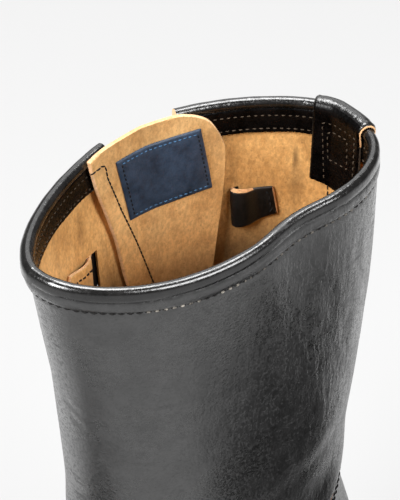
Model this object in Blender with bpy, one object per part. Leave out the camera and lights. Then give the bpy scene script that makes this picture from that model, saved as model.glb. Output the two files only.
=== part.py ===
"""Engineer boot for the right foot, standing empty on its sole.

Frame: +X to the toe, +Y to the inner (medial) side, +Z up; the floor is z = 0.
Sizes are in millimetres; mesh_object() turns them into metres.

The upper is one surface function, wall_point(u, level, out):
  u      once round the boot: 0 front, 0.25 inner side, 0.5 back, 0.75 outer side
  level  height up the wall in percent: 0 at the feather edge, 100 at the collar
  out    distance from the wall's outer face, positive outwards
Every piece that lies on the wall is laid out in those coordinates.
"""

import math
from collections import namedtuple

import bmesh
import bpy
import numpy as np

MM = 0.001

# Driving dimensions
GAP = 0.3                   # air between pieces that meet
WALL = 2.2                  # shaft leather
OVERLAY = 1.8               # vamp and counter leather
STRAP = 1.9                 # strap leather
OUTSOLE = 6.0
MIDSOLE = 5.0
WELT = 4.0
INSOLE = 3.5
HEEL_LIFT = 7.0             # rubber top piece under the heel
HEEL_STACK = 26.7           # leather lifts
TOE_SPRING = 11.0
HEEL_SEAT_END = -78.0       # the seat is level behind this x
TREAD_START = 20.0          # the forefoot lies on the floor between these two x
TREAD_END = 72.0
SOLE_TIP = 150.0
HEEL_BREAST = -76.0
BEAD_RADIUS = 2.4           # rolled binding on the collar
FACING = 1.2
BEAD_FOOT = 1.5             # height of the bead's centre over its flat foot
RIM_RISE = 0.4              # the leaning wall's inner edge stands this much over its outer one
BEAD_CENTRE = -(WALL + GAP + FACING) / 2
FACING_LEVEL = 96.0         # lower edge of the black band inside the collar
BACKSTAY = 1.6
TONGUE = 1.8
LABEL = 1.0

HEEL_HEIGHT = HEEL_LIFT + HEEL_STACK + 2 * GAP

# Side outline of the wall: where each section meets the front and the back
Profile = namedtuple("Profile", "level front_x front_z back_x back_z follow")
# Plan of each section: half widths to the inner and outer side, and how they run
Width = namedtuple("Width", "level inner outer heel_share wide_at heel_at waist_in waist_out swing")
# Roundness of each section's four quarters, as powers of a superellipse
Round = namedtuple("Round", "level toe_in toe_out heel_in heel_out")

# Rows that shape single pieces
Tongue = namedtuple("Tongue", "level front_u back_u")
Margin = namedtuple("Margin", "share width")
Line = namedtuple("Line", "x z")

WAIST_AT = 0.38
WAIST_SPREAD = 0.11


def smooth_step(t):
    t = np.clip(t, 0.0, 1.0)
    return t * t * (3.0 - 2.0 * t)


def sole_rise(x):
    """Height of the outsole's underside above the floor."""
    x = np.asarray(x, float)
    arch = HEEL_HEIGHT * (1.0 - smooth_step((x - HEEL_SEAT_END) / (TREAD_START - HEEL_SEAT_END)))
    spring = TOE_SPRING * (np.clip(x - TREAD_END, 0.0, None) / (SOLE_TIP - TREAD_END)) ** 2
    return arch + spring


def sole_top(x):
    """Height of the midsole's upper face, where the upper stands."""
    return sole_rise(x) + OUTSOLE + GAP + MIDSOLE


FEATHER_FRONT = 141.0
FEATHER_BACK = -140.0
FEATHER_FRONT_Z = float(sole_top(FEATHER_FRONT)) + 1.5 * GAP
FEATHER_BACK_Z = float(sole_top(FEATHER_BACK)) + 1.5 * GAP

PROFILE = [
    Profile(0, FEATHER_FRONT, FEATHER_FRONT_Z, FEATHER_BACK, FEATHER_BACK_Z, 1.0),
    Profile(5, 145.0, 36.0, -145.0, 59.0, 1.0),
    Profile(10, 141.5, 50.5, -147.5, 72.0, 0.85),
    Profile(15, 129.0, 60.5, -148.0, 84.0, 0.6),
    Profile(20, 108.0, 67.0, -147.0, 95.0, 0.35),
    Profile(25, 80.0, 73.0, -144.5, 106.0, 0.15),
    Profile(30, 51.0, 82.0, -141.5, 117.0, 0.05),
    Profile(36, 24.0, 97.0, -139.5, 130.0, 0.0),
    Profile(42, 4.0, 117.0, -138.5, 144.0, 0.0),
    Profile(49, -6.5, 141.0, -139.0, 161.0, 0.0),
    Profile(57, -9.0, 168.0, -141.5, 182.0, 0.0),
    Profile(66, -7.5, 197.0, -143.5, 205.0, 0.0),
    Profile(77, -4.0, 229.0, -146.0, 232.0, 0.0),
    Profile(88, 1.5, 262.0, -147.0, 262.0, 0.0),
    Profile(100, 7.0, 295.0, -147.0, 295.0, 0.0),
]
WIDTH = [
    Width(0, 46.0, 47.5, 0.63, 0.70, 0.13, 0.17, 0.06, 5.0),
    Width(5, 49.5, 51.0, 0.68, 0.70, 0.13, 0.15, 0.06, 5.0),
    Width(10, 48.0, 49.5, 0.74, 0.68, 0.14, 0.12, 0.05, 5.0),
    Width(15, 43.5, 44.5, 0.84, 0.64, 0.16, 0.08, 0.03, 5.0),
    Width(20, 39.0, 40.5, 0.91, 0.56, 0.18, 0.04, 0.02, 4.0),
    Width(25, 36.0, 38.0, 0.95, 0.50, 0.22, 0.0, 0.0, 2.0),
    Width(30, 35.0, 36.5, 0.96, 0.47, 0.26, 0.0, 0.0, 1.0),
    Width(42, 36.0, 36.0, 0.98, 0.46, 0.34, 0.0, 0.0, 0.0),
    Width(57, 40.5, 38.0, 1.0, 0.46, 0.40, 0.0, 0.0, 0.0),
    Width(77, 42.0, 41.5, 1.0, 0.455, 0.44, 0.03, 0.0, 0.0),
    Width(100, 42.5, 46.0, 1.0, 0.455, 0.455, 0.08, 0.0, 0.0),
]
ROUND = [
    Round(0, 2.3, 2.3, 2.2, 2.2),
    Round(20, 2.1, 2.1, 2.2, 2.2),
    Round(42, 2.0, 2.0, 2.2, 2.2),
    Round(70, 2.1, 1.9, 2.6, 1.9),
    Round(100, 2.2, 1.62, 2.9, 1.6),
]


def column(table, name, at):
    """One column of a table, on a smooth curve through its rows, at values of the table's first column."""
    knots = np.array([row[0] for row in table], float)
    values = np.array([getattr(row, name) for row in table], float)
    steps = np.diff(values) / np.diff(knots)
    slopes = np.empty_like(values)
    slopes[0], slopes[-1] = steps[0], steps[-1]
    before, after = np.diff(knots)[:-1], np.diff(knots)[1:]
    slopes[1:-1] = (steps[:-1] * after + steps[1:] * before) / (before + after)
    at = np.asarray(at, float)
    i = np.clip(np.searchsorted(knots, at, side="right") - 1, 0, len(knots) - 2)
    span = knots[i + 1] - knots[i]
    t = (at - knots[i]) / span
    inside = np.clip(t, 0.0, 1.0)
    cubic = (
        values[i] * (1 + 2 * inside) * (1 - inside) ** 2
        + values[i + 1] * inside**2 * (3 - 2 * inside)
        + span * inside * (1 - inside) * (slopes[i] * (1 - inside) - slopes[i + 1] * inside)
    )
    beyond = (t - inside) * span
    return cubic + beyond * np.where(t > 1, slopes[i + 1], slopes[i])


def skin_point(u, level):
    """A point of the wall's outer face."""
    u, level = np.broadcast_arrays(np.asarray(u, float), np.asarray(level, float))
    turn = 2 * math.pi * u
    s = (1 + np.cos(turn)) / 2
    inner_side = np.sin(turn) >= 0

    def of(table, inner_name, outer_name):
        return np.where(inner_side, column(table, inner_name, level), column(table, outer_name, level))

    front, back = column(PROFILE, "front_x", level), column(PROFILE, "back_x", level)
    x = back + (front - back) * s
    straight = column(PROFILE, "back_z", level) * (1 - s) + column(PROFILE, "front_z", level) * s
    chord = sole_top(back) * (1 - s) + sole_top(front) * s
    z = straight + column(PROFILE, "follow", level) * (sole_top(x) - chord)
    wide_at, heel_at = column(WIDTH, "wide_at", level), column(WIDTH, "heel_at", level)
    share = column(WIDTH, "heel_share", level)
    grow = smooth_step((s - heel_at) / np.maximum(wide_at - heel_at, 1e-3))
    waist = of(WIDTH, "waist_in", "waist_out") * np.exp(-(((s - WAIST_AT) / WAIST_SPREAD) ** 2))
    body = of(WIDTH, "inner", "outer") * (share + (1 - share) * grow) * (1 - waist)
    toe_power, heel_power = of(ROUND, "toe_in", "toe_out"), of(ROUND, "heel_in", "heel_out")
    toe = np.clip((s - wide_at) / (1 - wide_at), 0, 1)
    heel = np.clip((heel_at - s) / heel_at, 0, 1)
    ends = (1 - toe**toe_power) ** (1 / toe_power) * (1 - heel**heel_power) ** (1 / heel_power)
    middle = column(WIDTH, "swing", level) * smooth_step((s - 0.5) / 0.5)
    y = middle + np.where(inner_side, 1, -1) * body * ends
    return np.stack([x, y, z], -1)


def wall_frame(u, level):
    """Unit vectors along u, up the wall and out of it, and the wall's length per unit of u and level."""
    du, dl = 1e-3, 0.05
    along = (skin_point(np.add(u, du), level) - skin_point(np.subtract(u, du), level)) / (2 * du)
    rise = (skin_point(u, np.add(level, dl)) - skin_point(u, np.subtract(level, dl))) / (2 * dl)
    along_length = np.linalg.norm(along, axis=-1, keepdims=True)
    rise_length = np.linalg.norm(rise, axis=-1, keepdims=True)
    out = np.cross(along, rise)
    out /= np.linalg.norm(out, axis=-1, keepdims=True)
    return along / along_length, rise / rise_length, out, along_length[..., 0], rise_length[..., 0]


def wall_point(u, level, out=0.0):
    point = skin_point(u, level)
    return point + np.asarray(out, float)[..., None] * wall_frame(u, level)[2]


# Columns from the front round one side to the back, alike on both sides; each run is (start, end, steps)
SLIT_U = 0.733
SIDE_RUNS = [
    (0.0, 0.10, 4), (0.10, 0.20, 4), (0.20, 1 - SLIT_U, 3), (1 - SLIT_U, 0.34, 4),
    (0.34, 0.40, 4), (0.40, 0.447, 2), (0.447, 0.50, 3),
]
LEVEL_RUNS = [(0, 30, 9), (30, 42, 5), (42, 66, 4), (66, 100, 6)]


def runs(table):
    parts = [np.linspace(start, end, steps, endpoint=False) for start, end, steps in table]
    return np.append(np.concatenate(parts), table[-1][1])


side = runs(SIDE_RUNS)
RING = np.concatenate([side, 1 - side[-2:0:-1]])
SLIT_COLUMN = int(np.argmin(abs(RING - SLIT_U)))
COLUMNS = np.concatenate([RING[SLIT_COLUMN:], 1 + RING[: SLIT_COLUMN + 1]])
LEVELS = runs(LEVEL_RUNS)

# The V slit on the outer side
SLIT_LEVEL = 66.0
SLIT_FRONT_U = 0.7714
SLIT_BACK_U = 0.6956
SLIT_REACH = 0.12           # how far from the slit the columns move aside


def slit_columns(level):
    """COLUMNS at one level, with those beside the slit drawn back from it."""
    opening = np.clip((level - SLIT_LEVEL) / (100.0 - SLIT_LEVEL), 0.0, 1.0) ** 0.75
    forward = COLUMNS - SLIT_U
    backward = 1.0 - forward
    front = opening * (SLIT_FRONT_U - SLIT_U) * np.clip(1 - forward / SLIT_REACH, 0, 1)
    back = opening * (SLIT_BACK_U - SLIT_U) * np.clip(1 - backward / SLIT_REACH, 0, 1)
    return COLUMNS + front + back


COLOURS = {
    "black_leather": (0.020, 0.019, 0.018, 1.0),
    "tan_leather": (0.50, 0.27, 0.11, 1.0),
    "blue_leather": (0.030, 0.045, 0.075, 1.0),
    "sole_edge": (0.028, 0.022, 0.018, 1.0),
    "black_rubber": (0.015, 0.015, 0.015, 1.0),
    "steel": (0.55, 0.54, 0.52, 1.0),
}


def material(name):
    found = bpy.data.materials.get(name)
    if found:
        return found
    made = bpy.data.materials.new(name)
    made.use_nodes = True
    shader = made.node_tree.nodes["Principled BSDF"]
    shader.inputs["Base Color"].default_value = COLOURS[name]
    shader.inputs["Metallic"].default_value = 1.0 if name == "steel" else 0.0
    shader.inputs["Roughness"].default_value = 0.35 if name == "steel" else 0.55
    return made


def mesh_object(name, points, faces, stuff):
    """A mesh from points in millimetres and faces as rows of point numbers."""
    mesh = bpy.data.meshes.new(name)
    bm = bmesh.new()
    verts = [bm.verts.new(point * MM) for point in np.asarray(points, float).reshape(-1, 3)]
    for face in faces:
        bm.faces.new([verts[i] for i in face])
    bmesh.ops.recalc_face_normals(bm, faces=bm.faces)
    bm.to_mesh(mesh)
    bm.free()
    mesh.shade_smooth()
    mesh.set_sharp_from_angle(angle=math.radians(40))
    made = bpy.data.objects.new(name, mesh)
    bpy.context.collection.objects.link(made)
    made.data.materials.append(material(stuff))
    return made


def sheet(name, points, faces, stuff, thickness):
    """A leather sheet on faces that look out of the boot; a positive thickness goes outwards."""
    mesh = bpy.data.meshes.new(name)
    bm = bmesh.new()
    verts = [bm.verts.new(point * MM) for point in points]
    for face in faces:
        bm.faces.new([verts[i] for i in dict.fromkeys(face)])
    bm.to_mesh(mesh)
    bm.free()
    mesh.shade_smooth()
    mesh.set_sharp_from_angle(angle=math.radians(40))
    made = bpy.data.objects.new(name, mesh)
    bpy.context.collection.objects.link(made)
    made.data.materials.append(material(stuff))
    solid = made.modifiers.new("thickness", "SOLIDIFY")
    solid.thickness = abs(thickness) * MM
    solid.offset = 1.0 if thickness > 0 else -1.0
    solid.use_even_offset = True
    return made


def grid_sheet(name, grid, stuff, thickness, seam_rows=0):
    """A sheet on a grid whose rows run along u and whose columns run up the wall.

    The first seam_rows rows close on themselves.
    """
    rows, columns = grid.shape[:2]
    index = np.arange(rows * columns).reshape(rows, columns)
    index[:seam_rows, -1] = index[:seam_rows, 0]
    used = np.unique(index)
    index = np.searchsorted(used, index)
    faces = [
        (index[i, k], index[i, k + 1], index[i + 1, k + 1], index[i + 1, k])
        for i in range(rows - 1)
        for k in range(columns - 1)
    ]
    return sheet(name, grid.reshape(-1, 3)[used], faces, stuff, thickness)


def loft(name, rings, stuff, closed=False):
    """A solid through rings of points; an open one gets a flat cap at each end."""
    rings = np.asarray(rings, float)
    count, size = rings.shape[:2]
    spans = count if closed else count - 1
    faces = []
    for i in range(spans):
        here, there = i * size, (i + 1) % count * size
        for k in range(size):
            after = (k + 1) % size
            faces.append((here + k, here + after, there + after, there + k))
    if not closed:
        faces.append(tuple(range(size)))
        faces.append(tuple(range((count - 1) * size, count * size)))
    return mesh_object(name, rings, faces, stuff)


def plate(name, upper_edge, lower_edge, stuff, open_front=False):
    """A sole layer between two outlines that run from the toe round the inner side, heel and outer side.

    Its faces are ruled straight across from the inner to the outer edge. An outline with an open front
    starts at a cut instead of a tip.
    """
    count = len(upper_edge)
    half = count // 2 + 1
    faces = []
    for base in (0, count):
        last = count - 1 if open_front else count
        pairs = [(base + i, base + (last - i) % count) for i in range(half)]
        for (a, b), (c, d) in zip(pairs, pairs[1:]):
            faces.append(tuple(dict.fromkeys((a, c, d, b))))
    for i in range(count):
        after = (i + 1) % count
        faces.append((i, after, count + after, count + i))
    return mesh_object(name, np.concatenate([upper_edge, lower_edge]), faces, stuff)


for old in list(bpy.data.objects):
    bpy.data.objects.remove(old, do_unlink=True)

# Upper: one wall of leather, open at the collar and underneath
upper_u = np.array([slit_columns(level) for level in LEVELS])
upper_grid = wall_point(upper_u, np.broadcast_to(LEVELS[:, None], upper_u.shape))
upper = grid_sheet("upper", upper_grid, "black_leather", -WALL, seam_rows=int(np.sum(LEVELS <= SLIT_LEVEL)))

# Sole layers share one edge, a margin outside the feather line
# share runs from 0 at the heel to 1 at the toe
MARGIN = [
    Margin(0.0, 6.0), Margin(0.2, 5.5), Margin(0.4, 4.5),
    Margin(0.6, 7.0), Margin(0.8, 8.5), Margin(1.0, 8.5),
]


def sole_edge(u, inset=0.0):
    """Plan of the sole's edge; the heights are left at zero."""
    out = wall_frame(u, np.zeros_like(u))[2][:, :2]
    out /= np.linalg.norm(out, axis=1, keepdims=True)
    margin = column(MARGIN, "width", (1 + np.cos(2 * math.pi * u)) / 2) - inset
    plan = skin_point(u, np.zeros_like(u))[:, :2] + out * margin[:, None]
    return np.column_stack([plan, np.zeros(len(u))])


def at_height(plan, height):
    return plan + np.column_stack([np.zeros((len(plan), 2)), np.broadcast_to(height, len(plan))])


edge = sole_edge(RING)
rise = sole_rise(edge[:, 0])
plate("outsole", at_height(edge, rise + OUTSOLE), at_height(edge, rise), "black_rubber")
mid_edge = sole_edge(RING, 0.4)
mid_rise = sole_rise(mid_edge[:, 0])
plate(
    "midsole",
    at_height(mid_edge, mid_rise + OUTSOLE + GAP + MIDSOLE),
    at_height(mid_edge, mid_rise + OUTSOLE + GAP),
    "sole_edge",
)

# Welt: a strip that hugs the foot of the upper
WELT_LEVEL = 1.45
welt_edge = sole_edge(RING)
welt_rise = sole_top(welt_edge[:, 0]) + 1.5 * GAP
welt_inner = wall_point(RING, np.zeros_like(RING), np.full_like(RING, GAP))
welt_inner_top = wall_point(RING, np.full_like(RING, WELT_LEVEL), np.full_like(RING, GAP))
welt_inner[:, 2] = sole_top(welt_inner[:, 0]) + 1.5 * GAP
loft(
    "welt",
    [welt_inner, at_height(welt_edge, welt_rise), at_height(welt_edge, welt_rise + WELT), welt_inner_top],
    "sole_edge",
    closed=True,
)

# Insole: the footbed inside the wall
bed = wall_point(RING, np.zeros_like(RING), np.full_like(RING, -(WALL + 3 * GAP)))
bed[:, 2] = sole_top(bed[:, 0]) + 2 * GAP
plate("insole", at_height(bed, INSOLE), bed, "tan_leather")

# Heel: leather stack and rubber top piece, cut straight at the breast
HEEL_U = RING[(RING > 0.339) & (RING < 0.661)]


def heel_outline(inset, height):
    plan = sole_edge(HEEL_U, inset)
    plan[:, 0] = np.minimum(plan[:, 0], HEEL_BREAST)
    return at_height(plan, height)


stack_top = heel_outline(0.8, 0.0)
stack_top[:, 2] = sole_rise(stack_top[:, 0]) - GAP
plate("heel_stack", stack_top, heel_outline(2.2, HEEL_LIFT + GAP), "sole_edge", open_front=True)
plate("heel_lift", heel_outline(2.2, HEEL_LIFT), heel_outline(2.8, 0.0), "black_rubber", open_front=True)

# Gusset tongue behind the slit, inside the facing
TONGUE_BOTTOM = 62.0
TONGUE_TOP = 101.6
TONGUE_OUT = BEAD_CENTRE - BEAD_RADIUS - GAP
TONGUE_EDGES = [
    Tongue(62, 0.753, 0.678), Tongue(76, 0.769, 0.668),
    Tongue(89, 0.784, 0.6555), Tongue(102, 0.799, 0.652),
]
across = np.linspace(0.0, 1.0, 9)
corner = 1.2 * np.clip(1 - across / 0.3, 0, 1) ** 2 - 7.0 * np.clip((across - 0.62) / 0.38, 0, 1) ** 2.2
tongue_level = TONGUE_BOTTOM + (TONGUE_TOP + corner - TONGUE_BOTTOM) * np.linspace(0, 1, 9)[:, None]
tongue_front = column(TONGUE_EDGES, "front_u", tongue_level)
tongue_back = column(TONGUE_EDGES, "back_u", tongue_level)
tongue_u = tongue_front + (tongue_back - tongue_front) * across
tongue_grid = wall_point(tongue_u, tongue_level, np.full_like(tongue_u, TONGUE_OUT))
grid_sheet("gusset_tongue", tongue_grid[:, ::-1], "tan_leather", -TONGUE)

# Label patch, sewn on the tongue's inner face
LABEL_TOP, LABEL_BOTTOM = 99.2, 88.1
LABEL_FRONT_U, LABEL_BACK_U = 0.767, 0.677
LABEL_LEAN = 0.008          # its lower edge lies this much further back
drop = np.linspace(1.0, 0.0, 3)[:, None]
label_u = np.linspace(LABEL_BACK_U, LABEL_FRONT_U, 6) - LABEL_LEAN * drop
label_level = LABEL_TOP + (LABEL_BOTTOM - LABEL_TOP) * np.broadcast_to(drop, label_u.shape)
label_grid = wall_point(label_u, label_level, np.full_like(label_u, TONGUE_OUT - TONGUE - 1.5 * GAP))
grid_sheet("label_patch", label_grid, "blue_leather", -LABEL)

# Collar: inner facing band and rolled binding, both open at the slit
facing_levels = np.linspace(FACING_LEVEL, 99.8, 2)
facing_u = np.array([slit_columns(level) for level in facing_levels])
facing_level = np.broadcast_to(facing_levels[:, None], facing_u.shape)
facing_grid = wall_point(facing_u, facing_level, np.full_like(facing_u, -(WALL + GAP)))
grid_sheet("collar_facing", facing_grid, "black_leather", -FACING)


def collar_ring(u, radius, angles):
    """Points round the bead's centre line: angle 0 looks out of the boot, 90 degrees up."""
    u = np.asarray(u, float)
    out = wall_frame(u, np.full_like(u, 100.0))[2] * [1, 1, 0]
    out /= np.linalg.norm(out, axis=-1, keepdims=True)
    centre = skin_point(u, np.full_like(u, 100.0)) + out * BEAD_CENTRE + [0, 0, RIM_RISE + GAP + BEAD_FOOT]
    reach = radius * np.cos(angles)[:, None] * out[..., None, :]
    return centre[..., None, :] + reach + radius * np.sin(angles)[:, None] * np.array([0, 0, 1.0])


foot_angle = math.asin(BEAD_FOOT / BEAD_RADIUS)
bead_angles = np.linspace(-foot_angle, math.pi + foot_angle, 7)
loft("collar_binding", collar_ring(slit_columns(100.0), BEAD_RADIUS, bead_angles), "black_leather")

# Vamp and counter: overlays on the wall's own surface above the welt, cut to lines drawn in side view
OVERLAY_FOOT = LEVELS[1]    # level of their lower edges
VAMP_LINE = [
    Line(-48.0, 57.0), Line(-32.0, 63.0), Line(-18.0, 78.0),
    Line(-5.0, 100.0), Line(4.0, 120.0), Line(14.0, 150.0),
]
COUNTER_LINE = [
    Line(-150.0, 147.0), Line(-138.0, 144.0), Line(-126.0, 135.0),
    Line(-110.0, 114.0), Line(-92.0, 82.0), Line(-76.0, 57.0),
]
BEYOND = 170.0              # further from the origin than any point of the wall


def cutter(made):
    made.hide_render = True
    made.display_type = "WIRE"
    return made


def overlay(name, centre_u, reach, top_level, line, from_x, to_x):
    """An overlay about centre_u; the part of it under the line, between two x, is kept."""
    away = np.concatenate([RING - 1, RING, RING + 1]) - centre_u
    u = centre_u + away[abs(away) <= reach + 1e-6]
    levels = LEVELS[(LEVELS >= OVERLAY_FOOT) & (LEVELS <= top_level)]
    grid = wall_point(*np.broadcast_arrays(u, levels[:, None], 2 * GAP))
    made = grid_sheet(name, grid, "black_leather", OVERLAY)
    x = np.linspace(line[0].x, line[-1].x, 12)
    outline = [(from_x, 0.0), *zip(np.clip(x, from_x, to_x), column(line, "z", x)), (to_x, 0.0)]
    if from_x < x[0]:
        outline.insert(1, (from_x, line[0].z))
    if to_x > x[-1]:
        outline.insert(-1, (to_x, line[-1].z))
    rings = [[(px, y, pz) for px, pz in outline] for y in (-BEYOND, BEYOND)]
    cut = made.modifiers.new("edge", "BOOLEAN")
    cut.object = cutter(loft(name + "_edge", rings, "black_leather"))
    cut.operation = "INTERSECT"
    return made


OVERLAY_TOP = 50.0          # a level above both lines
overlay("vamp", 0.0, 0.30, OVERLAY_TOP, VAMP_LINE, VAMP_LINE[0].x, BEYOND)
overlay("counter", 0.5, 0.18, OVERLAY_TOP, COUNTER_LINE, -BEYOND, COUNTER_LINE[-1].x)

# Backstay: up the back, over the binding and down inside the facing
BACKSTAY_FOOT = 44.6
BACKSTAY_INSIDE = 87.6
stay_u = RING[(RING > 0.446) & (RING < 0.554)]
up_levels = [BACKSTAY_FOOT, *LEVELS[(LEVELS > BACKSTAY_FOOT) & (LEVELS < 100)], 99.4]


def stay_row(level, out):
    return wall_point(stay_u, np.full_like(stay_u, level), np.full_like(stay_u, out))


up_path = [stay_row(level, 2 * GAP) for level in up_levels]
over_path = collar_ring(stay_u, BEAD_RADIUS + GAP, np.radians(np.linspace(-10, 190, 7)))
inside_out = -(WALL + GAP + FACING + GAP)
down_path = [stay_row(level, inside_out) for level in np.linspace(99.0, BACKSTAY_INSIDE, 4)]
stay_grid = np.concatenate([up_path, np.swapaxes(over_path, 0, 1), down_path])
grid_sheet("backstay", stay_grid, "black_leather", BACKSTAY)


# Straps: laid out in strap coordinates, a along the strap, b across it and n out of the wall
def route(points):
    """Strap coordinates on a path of (u, level) points; gives a function of a, b and n, and the length."""
    points = np.asarray(points, float)
    fine = np.linspace(0, len(points) - 1, 40 * (len(points) - 1) + 1)
    u = np.interp(fine, np.arange(len(points)), points[:, 0])
    level = np.interp(fine, np.arange(len(points)), points[:, 1])
    length = np.append(0.0, np.cumsum(np.linalg.norm(np.diff(skin_point(u, level), axis=0), axis=1)))

    def lay(a, b, n):
        a, b, n = np.broadcast_arrays(*(np.asarray(value, float) for value in (a, b, n)))
        u0, level0 = np.interp(a, length, u), np.interp(a, length, level)
        step = 6.0
        ahead = skin_point(np.interp(a + step, length, u), np.interp(a + step, length, level))
        behind = skin_point(np.interp(a - step, length, u), np.interp(a - step, length, level))
        along, up, out, along_mm, up_mm = wall_frame(u0, level0)
        side = np.cross(out, ahead - behind)
        side /= np.linalg.norm(side, axis=-1, keepdims=True)
        lean = np.sum(along * up, -1)
        side_along, side_up = np.sum(side * along, -1), np.sum(side * up, -1)
        du = (side_along - lean * side_up) / (1 - lean**2) / along_mm
        dl = (side_up - lean * side_along) / (1 - lean**2) / up_mm
        return wall_point(u0 + b * du, level0 + b * dl, n)

    return lay, length[-1]


def curve_through(points, spacing):
    """Points at an even spacing on a rounded line through (a, n) points."""
    points = np.asarray(points, float)
    reach = np.append(0.0, np.cumsum(np.linalg.norm(np.diff(points, axis=0), axis=1)))
    Bend = namedtuple("Bend", "reach a n")
    table = [Bend(*row) for row in np.column_stack([reach, points])]
    at = np.linspace(0, reach[-1], max(2, int(reach[-1] / spacing) + 1))
    return np.column_stack([column(table, "a", at), column(table, "n", at)])


def band(name, lay, middle, width, thickness, skew=(0.0, 0.0), tip=0.0):
    """A strap whose middle layer follows (a, n) points; skew slants its ends and tip rounds the last."""
    ahead = np.gradient(middle, axis=0)
    ahead /= np.linalg.norm(ahead, axis=1, keepdims=True)
    normal = np.column_stack([-ahead[:, 1], ahead[:, 0]]) * thickness / 2
    share = np.linspace(0, 1, len(middle))
    narrow = 1 - tip * np.clip((share - 0.9) / 0.1, 0, 1) ** 2
    b = np.linspace(-width / 2, width / 2, 3)
    rings = []
    for i, (a, n) in enumerate(middle):
        slant = b * (skew[0] * (1 - share[i]) ** 4 + skew[1] * share[i] ** 4)
        upper = lay(a + normal[i, 0] + slant, b * narrow[i], n + normal[i, 1])
        lower = lay(a - normal[i, 0] + slant, b * narrow[i], n - normal[i, 1])
        rings.append(np.concatenate([upper, lower[::-1]]))
    return loft(name, rings, "black_leather")


KEEPER = 1.2                # keeper leather
KEEPER_BREADTH = 7.0


def keeper(name, lay, at, width, low, high):
    """A leather loop round a strap, between heights low and high inside."""
    half = width / 2 + 2 * GAP
    corners = np.array([(-half, low), (0, low), (half, low), (half, high), (0, high), (-half, high)])
    outer = corners + KEEPER * np.array([(-1, -1), (0, -1), (1, -1), (1, 1), (0, 1), (-1, 1)])
    rings = []
    far = at + KEEPER_BREADTH
    for loop, a in ((corners, at), (outer, at), (outer, far), (corners, far)):
        rings.append(lay(np.full(len(loop), a), loop[:, 0], loop[:, 1]))
    return loft(name, rings, "black_leather", closed=True)


BAR = 1.6                   # radius of the buckle wire
FRAME_LENGTH = 22.0         # between the centres of its two bars
FRAME_BEND = 4.0            # radius of its corners
FRAME_PLAY = 1.1            # between the strap's edge and the frame
CHAPE = 1.6                 # chape leather
LOOP_PLAY = 0.45            # between the bar and the chape's fold
LOOP = BAR + LOOP_PLAY + CHAPE / 2
BAR_PLAY = 1.2              # between the strap and the front bar
PIN_WIDE = 1.3              # half width and half height of the buckle's pin
PIN_HIGH = 1.0


def buckle(name, lay, at, width, low, high):
    """A wire frame: its chape bar at a = at and height low, its front bar at height high."""
    half = width / 2 + FRAME_PLAY + BAR
    middle = []
    for side_a, side_b, start in ((0, 1, 0), (-1, 1, 90), (-1, -1, 180), (0, -1, 270)):
        corner_a = -FRAME_BEND if side_a == 0 else -FRAME_LENGTH + FRAME_BEND
        corner_b = side_b * (half - FRAME_BEND)
        for turn in np.radians(start + np.array([5.0, 45.0, 85.0])):
            middle.append((corner_a + FRAME_BEND * np.cos(turn), corner_b + FRAME_BEND * np.sin(turn)))
    middle = np.array(middle)
    ahead = np.roll(middle, -1, 0) - np.roll(middle, 1, 0)
    ahead /= np.linalg.norm(ahead, axis=1, keepdims=True)
    outward = np.column_stack([ahead[:, 1], -ahead[:, 0]])
    rings = []
    for centre, out in zip(middle, outward):
        angles = np.linspace(0, 2 * math.pi, 6, endpoint=False)
        a = centre[0] + out[0] * BAR * np.cos(angles)
        b = centre[1] + out[1] * BAR * np.cos(angles)
        n = low + (high - low) * -a / FRAME_LENGTH + BAR * np.sin(angles)
        rings.append(lay(at + a, b, n))
    return loft(name, rings, "steel", closed=True)


def pin(name, lay, middle):
    """The buckle's pin: a thin six-sided bar along (a, n) points."""
    angles = np.linspace(0, 2 * math.pi, 6, endpoint=False)
    across, height = PIN_WIDE * np.cos(angles), PIN_HIGH * np.sin(angles)
    return loft(name, [lay(np.full(6, a), across, n + height) for a, n in middle], "steel")


def buckled_strap(prefix, lay, width, rest, bar_at, strap_start, strap_end, chape_start, skew=0.0):
    """A strap closed with a buckle: the strap runs under the front bar and over the chape's fold.

    rest is the height of the straps' underside, bar_at the place of the chape bar; the start lists
    hold the (a, n) points where the strap and the chape come from. skew slants the ends that start there.
    """
    flat = rest + STRAP / 2
    low = rest + CHAPE / 2
    bar_height = low + LOOP
    fold_top = low + 2 * LOOP + CHAPE / 2
    over = fold_top + GAP + STRAP / 2
    second = low + CHAPE + GAP
    tail = second + CHAPE / 2 + GAP + STRAP / 2
    climb = [(bar_at - 26, flat), (bar_at - 19, flat + 0.2), (bar_at - 9, flat + 0.55 * (over - flat))]
    crest = [(bar_at - 2.5, over), (bar_at + 2.5, over)]
    fall = [(bar_at + 8, tail + 1.7), (bar_at + 14, tail + 0.4), (bar_at + 20, tail)]
    run = strap_start + climb + crest + fall + strap_end
    band(prefix + "_strap", lay, curve_through(run, 5.0), width, STRAP, (-skew, 0.0), tip=0.45)
    turn = np.radians(np.linspace(270, 90, 9))
    fold = [(bar_at + LOOP * math.cos(t), low + LOOP + LOOP * math.sin(t)) for t in turn]
    back = [(bar_at + 3.5, low + 2 * LOOP - 1.0), (bar_at + 8, second), (bar_at + 15, second)]
    middle = np.concatenate([curve_through(chape_start + [(bar_at + 4, low)], 3.6), fold, back])
    band(prefix + "_chape", lay, middle, width - 1.0, CHAPE, (skew, 0.0))
    front = flat + STRAP / 2 + BAR_PLAY + BAR
    buckle(prefix + "_buckle", lay, bar_at, width, bar_height, front)
    front_at, front_top = bar_at - FRAME_LENGTH, front + BAR
    prong = [
        (bar_at - 7.0, flat + 0.72 * (over - flat) + 2.6), (bar_at - 15, front_top + 2.4),
        (front_at - 0.5, front_top + 1.7), (front_at - 3.0, front_top + 0.9),
    ]
    pin(prefix + "_prong", lay, curve_through(prong, 3.0))


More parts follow.
